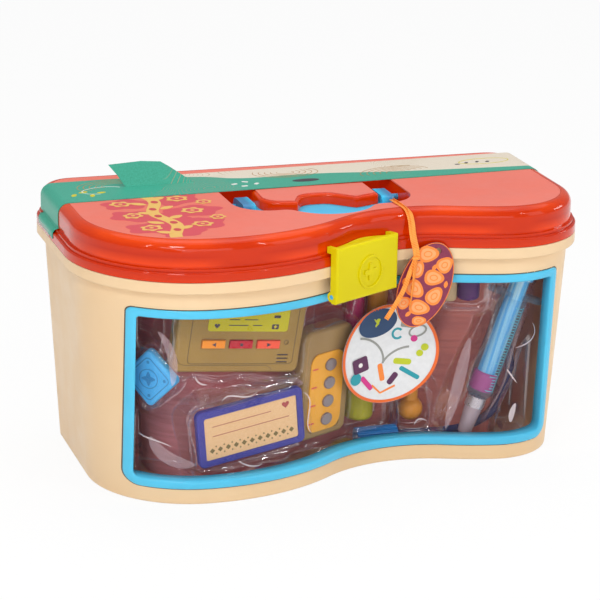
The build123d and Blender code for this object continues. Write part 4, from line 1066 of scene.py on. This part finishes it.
def makeToyPrints():
    pager, badge, tester = toyPlace("pager"), toyPlace("badge"), toyPlace("tester")
    symbols = [heart(-16.5, 5.6, 3.6), tile(22.0, 5.2, 4.6, 3.2, 0.5), tile(22.5, 11.6, 4.4, 1.8, 0.4),
               stroke(((-9, 9.6), (-2, 9.6)), 0.6), stroke(((1, 9.6), (10, 9.6)), 0.6),
               stroke(((-9, 6.0), (4, 6.0)), 0.6), stroke(((7, 6.0), (13, 6.0)), 0.6)]
    printOn("pagerSymbols", "ink", symbols, pager, "case", 0.12, 0.04)
    printOn("pagerCross", "lemon", [tile(22.0, 5.2, 2.0, 0.7, 0.1), tile(22.0, 5.2, 0.7, 2.0, 0.1)],
            pager, "case", 0.2, 0.04)
    # Painted shade: dark olive lines stand for the shade in the grooves round the panel, along the step and
    # round the lamp
    panel = np.array(roundedPath(0, {"left": -33.0, "right": 37.0, "low": -19.0, "high": 24.5,
                                     "lowRound": 3.0, "highRound": 3.0}, 7, 20, 20))
    inside = np.array(roundedPath(0.5, {"left": -33.0, "right": 37.0, "low": -19.0, "high": 24.5,
                                         "lowRound": 3.0, "highRound": 3.0}, 7, 20, 20))
    step = stroke(((-40, -14.5), (-38, -18.5), (-34, -19.8), (20, -19.8), (23, -21.5), (24, -24)), 0.4)
    slots = [tile(29.8, -15.2 + 2.3 * k, 7.0, 0.9, 0.3) for k in (-1, 0, 1)]
    lamp = hoop(31, -4.8, 1.7, 1.7, 0.5)
    printOn("pagerGrooveShade", "grooveInk", [band(inside, panel, True), step, lamp], pager, "case",
            0.07, 0.05)
    # Painted shade: dark ink sunk down in the three slots
    printOn("pagerSlotShade", "ink", slots, lambda u, v, h: pager(u, v, h - 0.65), "case")
    arrows = (((-1.4, 0), (1.2, 1.3), (1.2, -1.3)), ((-0.9, -0.9), (0.9, -0.9), (0.9, 0.9), (-0.9, 0.9)),
              ((1.4, 0), (-1.2, -1.3), (-1.2, 1.3)))
    for number, (colour, arrow) in enumerate(zip(("amber", "red", "coral"), arrows)):
        mark = np.array(arrow, float)
        if number == 0:
            mark = mark[::-1]
        shape = patch(mark[:, 0] + 0.8 + 18.1 * (number - 1), mark[:, 1] - 6.0,
                      (0.8 + 18.1 * (number - 1), -6.0))
        printOn(colour + "Mark", "ink", [shape], lambda u, v, h: pager(u, v, h + 1.4),
                "button_" + colour)
    lines = [stroke(((-26, 7.5), (14, 7.5)), 0.45), stroke(((-26, 1.2), (26, 1.2)), 0.45)]
    diamonds = [tile(-27 + 5.4 * k, -8.2, 2.5, 2.5, 0.2, 45) for k in range(11)]
    dots = [oval(-24.3 + 5.4 * k, -8.2 + side * 2.4, 0.5) for k in range(10) for side in (-1, 1)]
    onCard = lambda u, v, h: badge(u, v, h - 0.6)
    printOn("cardLines", "brick", lines, onCard, "case")
    printOn("cardBorder", "olive", diamonds + dots, onCard, "case")
    printOn("cardHeart", "brick", [heart(24, 9.5, 5.0)], onCard, "case")
    block = toyPlace("block")
    edge = {"left": -10.6, "right": 10.6, "low": -10.6, "high": 10.6, "lowRound": 3.0, "highRound": 3.0}
    # Painted shade: the raised relief lines are a darker blue than the block
    lines = [band(roundedPath(0.6, edge, 7, 12, 12), roundedPath(0, edge, 7, 12, 12), True),
             hoop(0, 0, 6.4, 6.4, 0.6), leaf(0, 0, 9.5, 3.4, 45), leaf(0, 0, 9.5, 3.4, -45)]
    lines += [oval(7.6 * sideU, 7.6 * sideV, 1.0) for sideU in (-1, 1) for sideV in (-1, 1)]
    printOn("blockRelief", "blockInk", lines, block, "case", 0.1, 0.3)
    plate = np.array(roundedPath(0, {"left": -13.0, "right": 17.0, "low": -33.4, "high": 18.6,
                                     "lowRound": 7.5, "highRound": 7.5}, 9, 20, 30))
    plate = printOn("testerPanel", "panel", [patch(plate[:, 0], plate[:, 1], (2.0, -7.4))], tester,
                    "case", 0.9, 1.35)
    soft = plate.modifiers.new("soft", "BEVEL")
    soft.width, soft.segments, soft.limit_method = 0.0005, 2, "ANGLE"
    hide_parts("tester_panel")
    ticks = [tile(-9.4, 9.2 - 12.0 * k, 5.0, 1.0, 0.3) for k in range(4)]
    printOn("testerTicks", "tick", ticks, lambda u, v, h: tester(u, v, h + 0.95), "case")


makeToyPrints()


def makeSyringeScale():
    # Graduation lines round the front of the barrel, long at every fifth
    barrel = toyPlace("syringe")
    radius = 9.05

    def onBarrel(u, v, h):
        angle = u / radius
        return barrel((radius + h) * np.sin(angle), v, (radius + h) * np.cos(angle))
    marks = []
    for k in range(31):
        high = 33.0 + 1.9 * k
        long = 5.5 if k % 5 == 0 else 3.0
        line = np.stack([np.linspace(5.5 - long, 5.5, 6), np.full(6, high)], 1)
        marks.append(stroke(line, 0.45))
    marks.append(stroke(np.stack([np.full(12, 6.3), np.linspace(32, 91, 12)], 1), 0.4))
    printOn("syringeScale", "aqua", marks, onBarrel, "case", 0.06, 0.08)


makeSyringeScale()
print("prints made")


# Cords -----------------------------------------------------------------------------------

def splineCurve(name, points, bevelMm=0.0):
    # A smooth NURBS line through the route's points as control points
    curve = bpy.data.curves.new(name, "CURVE")
    curve.dimensions = "3D"
    spline = curve.splines.new("NURBS")
    spline.points.add(len(points) - 1)
    for control, spot in zip(spline.points, toFrame(points)):
        control.co = (*spot, 1.0)
    spline.order_u = 3
    spline.use_endpoint_u = True
    curve.resolution_u = 12
    curve.bevel_depth = bevelMm * 0.001
    curve.bevel_resolution = 5
    curve.use_fill_caps = True
    piece = bpy.data.objects.new(name, curve)
    bpy.context.scene.collection.objects.link(piece)
    return piece


def lineOf(points):
    # The spline's own points, in millimetres
    guide = splineCurve("guide", points)
    mesh = bpy.data.meshes.new_from_object(guide)
    spots = np.empty(len(mesh.vertices) * 3)
    mesh.vertices.foreach_get("co", spots)
    bpy.data.objects.remove(guide)
    bpy.data.meshes.remove(mesh)
    return spots.reshape(-1, 3) * 1000 + (0.0, casePlan["middleY"], 0.0)


def lengthOf(line):
    return float(np.linalg.norm(np.diff(line, axis=0), axis=1).sum()) * 0.001


def fromEnd(points):
    return [(x - casePlan["half"], y, z) for x, y, z in points]


def ribbonLine(name, points, width, thick, twist):
    # A flat section carried along the line: its width stays level and turns by twist
    line = lineOf(points)
    along = np.gradient(line, axis=0)
    along /= np.linalg.norm(along, axis=1)[:, None]
    out = np.tile((0.0, -1.0, 0.15), (len(line), 1))
    lying = np.abs(along[:, 2]) < 0.6
    out[lying] = (0.0, 0.0, 1.0)
    blend = np.ones(9) / 9
    padded = np.pad(out, ((4, 4), (0, 0)), mode="edge")
    out = np.stack([np.convolve(padded[:, k], blend, "valid") for k in range(3)], 1)
    across = np.cross(along, out)
    across /= np.linalg.norm(across, axis=1)[:, None]
    out = np.cross(across, along)
    turn = np.radians(np.linspace(twist[0], twist[1], len(line)))[:, None]
    wide = across * np.cos(turn) + out * np.sin(turn)
    flat = out * np.cos(turn) - across * np.sin(turn)
    angle = np.linspace(0, 2 * np.pi, 14, endpoint=False)
    u = np.sign(np.cos(angle)) * np.abs(np.cos(angle)) ** 0.6 * width / 2
    v = np.sin(angle) * thick / 2
    rings = line[:, None] + wide[:, None] * u[None, :, None] + flat[:, None] * v[None, :, None]
    count = len(line)
    points = np.concatenate([rings.reshape(-1, 3), line[[0, -1]]])
    faces = gridFaces(count, 14, False, True)
    ring = np.arange(14)
    faces += np.stack([np.full(14, count * 14), (ring + 1) % 14, ring], 1).tolist()
    last = (count - 1) * 14
    faces += np.stack([np.full(14, count * 14 + 1), last + ring, last + (ring + 1) % 14], 1).tolist()
    piece = makePiece(name, points, faces, finishes["ribbon"], "lid")
    return piece, line


tagRibbon = {
    "over": ((199.5, -24.0, 168.3), (201.0, -40.0, 168.3), (202.5, -45.6, 166.4), (203.3, -48.4, 161.5),
             (203.6, -51.2, 151.4), (204.6, -55.4, 143.5), (205.0, -55.6, 139.0), (201.5, -55.6, 131.0),
             (198.3, -55.8, 121.0), (193.5, -56.0, 112.0), (186.5, -56.0, 101.5)),
    "tail": ((205.0, -55.6, 139.0), (204.2, -55.8, 131.0), (203.6, -56.0, 121.0), (201.8, -56.0, 107.8)),
    "knot": (205.0, -55.6, 139.0),
    "width": 3.2,
    "thick": 0.6,
}


def makeTagRibbon():
    route = fromEnd(tagRibbon["over"])
    over, line = ribbonLine("ribbonOver", route, tagRibbon["width"], tagRibbon["thick"], (0, 0))
    twinRoute = [(x + 1.2, y - 0.5, z + 0.25 - 0.02 * k) for k, (x, y, z) in enumerate(route[:7])]
    twin, twinLine = ribbonLine("ribbonTwin", twinRoute, tagRibbon["width"] * 0.85,
                                tagRibbon["thick"], (60, -40))
    tail, tailLine = ribbonLine("ribbonTail", fromEnd(tagRibbon["tail"]), tagRibbon["width"],
                                tagRibbon["thick"], (20, 60))
    knotX, knotY, knotZ = fromEnd([tagRibbon["knot"]])[0]
    a, b = np.meshgrid(np.linspace(0, 2 * np.pi, 28, endpoint=False),
                       np.linspace(0, 2 * np.pi, 14, endpoint=False), indexing="ij")
    # A small torus wound round the strands, wider than it is tall
    ring = 1.3 + 0.8 * np.cos(b)
    knot = np.stack([knotX + 1.25 * ring * np.cos(a), knotY + 0.75 * ring * np.sin(a) - 0.1,
                     knotZ + 1.1 * np.sin(b)], -1)
    knotPiece = makePiece("ribbonKnot", knot.reshape(-1, 3), gridFaces(28, 14, True, True),
                          finishes["ribbon"], "lid")
    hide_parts("tag_ribbon")
    tuple(toFrame(line[0]))
    lengthOf(line)
    toFrame(line).tolist()
    tuple(toFrame(twinLine[0]))
    lengthOf(twinLine)
    toFrame(twinLine).tolist()
    tuple(toFrame(tailLine[0]))
    lengthOf(tailLine)
    toFrame(tailLine).tolist()


makeTagRibbon()
print("ribbon made")


# The hose's points from the case's left end: along, back from the front wall, and up
toyHose = {
    "route": ((287.3, 29.8, 61.0), (289.0, 28.5, 50.7), (288.0, 28.9, 39.0), (282.6, 31.1, 28.6),
              (274.3, 32.8, 20.6), (265.0, 32.7, 14.6), (254.5, 30.8, 10.9), (241.0, 26.8, 9.8),
              (224.5, 20.4, 11.2), (208.25, 17.0, 12.0)),
    "radius": 2.75,
}


def makeToyHose():
    left, setback, high = np.array(toyHose["route"]).T
    along = left - casePlan["half"]
    route = np.stack([along, wallY(along, high, -setback), high], -1)
    hose = splineCurve("toyHose", route, toyHose["radius"])
    hose.data.materials.append(finishes["navy"])
    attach(hose, "case")
    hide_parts("stethoscope_hose")
    tuple(toFrame(route[0]))
    lengthOf(lineOf(route))
    print("hose length, m:", round(lengthOf(lineOf(route)), 4))


makeToyHose()


# Stage -----------------------------------------------------------------------------------

def makeStage():
    # A pale floor that the camera and the reflections see as white, and that keeps the shadow
    bpy.ops.mesh.primitive_plane_add(size=30.0, location=(0, 0, -0.0002))
    floor = bpy.context.object
    floor.name = "paleFloor"
    material = bpy.data.materials.new("paperSweep")
    material.use_nodes = True
    tree = material.node_tree
    tree.nodes.clear()
    rays = addNode(tree, "LightPath")
    seen = addNode(tree, "Math", {0: rays.outputs["Is Camera Ray"], 1: rays.outputs["Is Glossy Ray"]},
                   operation="ADD")
    seen = addNode(tree, "Math", {0: seen.outputs[0], 1: rays.outputs["Is Transmission Ray"]},
                   operation="ADD", use_clamp=True)
    share = addNode(tree, "Math", {0: seen.outputs[0], 1: 0.9}, operation="MULTIPLY")
    paper = addNode(tree, "BsdfDiffuse", {"Color": (0.93, 0.93, 0.93, 1.0)})
    white = addNode(tree, "Emission", {"Color": (1, 1, 1, 1), "Strength": 1.0})
    mix = addNode(tree, "MixShader", {0: share.outputs[0], 1: paper.outputs[0], 2: white.outputs[0]})
    addNode(tree, "OutputMaterial", {"Surface": mix.outputs[0]})
    floor.data.materials.append(material)
    world = bpy.data.worlds.new("studio")
    bpy.context.scene.world = world
    world.use_nodes = True
    tree = world.node_tree
    tree.nodes.clear()
    rays = addNode(tree, "LightPath")
    seen = addNode(tree, "Math", {0: rays.outputs["Is Camera Ray"], 1: rays.outputs["Is Transmission Ray"]},
                   operation="ADD", use_clamp=True)
    glow = addNode(tree, "Math", {0: seen.outputs[0], 1: 0.52}, operation="MULTIPLY")
    level = addNode(tree, "Math", {0: glow.outputs[0], 1: 0.34}, operation="ADD")
    sky = addNode(tree, "Background", {"Color": (1, 1, 1, 1), "Strength": level.outputs[0]})
    addNode(tree, "OutputWorld", {"Surface": sky.outputs[0]})


studioLamps = {
    "key": {"at": (-0.75, -1.25, 1.35), "size": (0.36, 0.36), "watts": 7.4},
    "domeLine": {"at": (-0.72, -1.09, 0.62), "size": (0.16, 0.7), "watts": 1.6,
                 "along": (-0.476, 0.584, 0.664)},
    "waistLine": {"at": (1.31, 0.0, 0.43), "size": (0.16, 0.4), "watts": 1.8, "along": (0.13, 0.5, 0.02)},
    "front": {"at": (-0.15, -1.7, 0.4), "size": (1.1, 0.5), "watts": 3.2},
    "fill": {"at": (1.2, -1.1, 0.7), "size": (0.7, 0.9), "watts": 2.8},
    "top": {"at": (0.1, 0.2, 1.6), "size": (1.0, 0.7), "watts": 3.0},
    "stripLeft": {"at": (-1.1, -0.7, 0.95), "size": (0.03, 0.5), "watts": 2.4},
    "stripRight": {"at": (0.75, -1.2, 1.0), "size": (0.03, 0.45), "watts": 2.0},
}


def makeLamps():
    sky = bpy.data.lights.new("sky", "SUN")
    sky.energy = 0.9
    sky.angle = math.radians(70)
    overhead = bpy.data.objects.new("sky", sky)
    overhead.rotation_euler = (math.radians(-12), math.radians(8), 0)
    bpy.context.scene.collection.objects.link(overhead)
    for name, lamp in studioLamps.items():
        light = bpy.data.lights.new(name, "AREA")
        light.shape = "RECTANGLE"
        light.size, light.size_y = lamp["size"]
        light.energy = lamp["watts"]
        holder = bpy.data.objects.new(name, light)
        # Each lamp faces the case, its second size lying as nearly as it can along its direction
        away = (Vector(lamp["at"]) - Vector((0, 0, 0.08))).normalized()
        long = Vector(lamp.get("along", (0, 0, 1)))
        long = (long - away * long.dot(away)).normalized()
        turned = Matrix((long.cross(away), long, away)).transposed().to_4x4()
        holder.matrix_world = Matrix.Translation(lamp["at"]) @ turned
        bpy.context.scene.collection.objects.link(holder)


photoCamera = {"at": (-0.483078, -1.466552, 0.572272), "yaw": 17.888, "pitch": 17.084, "roll": -0.978,
               "lens": 153.259, "sensor": 36.0}


def makeCamera():
    yaw, pitch, roll = [math.radians(photoCamera[key]) for key in ("yaw", "pitch", "roll")]
    ahead = Vector((math.sin(yaw) * math.cos(pitch), math.cos(yaw) * math.cos(pitch), -math.sin(pitch)))
    right = Vector((math.cos(yaw), -math.sin(yaw), 0.0))
    down = ahead.cross(right)
    rightRolled = right * math.cos(roll) + down * math.sin(roll)
    downRolled = down * math.cos(roll) - right * math.sin(roll)
    camera = bpy.data.cameras.new("photoCamera")
    camera.lens, camera.sensor_width = photoCamera["lens"], photoCamera["sensor"]
    camera.clip_end = 60.0
    holder = bpy.data.objects.new("photoCamera", camera)
    axes = Matrix((rightRolled, -downRolled, -ahead)).transposed().to_4x4()
    holder.matrix_world = Matrix.Translation(photoCamera["at"]) @ axes
    bpy.context.scene.collection.objects.link(holder)
    bpy.context.scene.camera = holder


makeStage()
makeLamps()
makeCamera()
bpy.context.scene.view_settings.view_transform = "Standard"
print("stage, lamps and camera made")
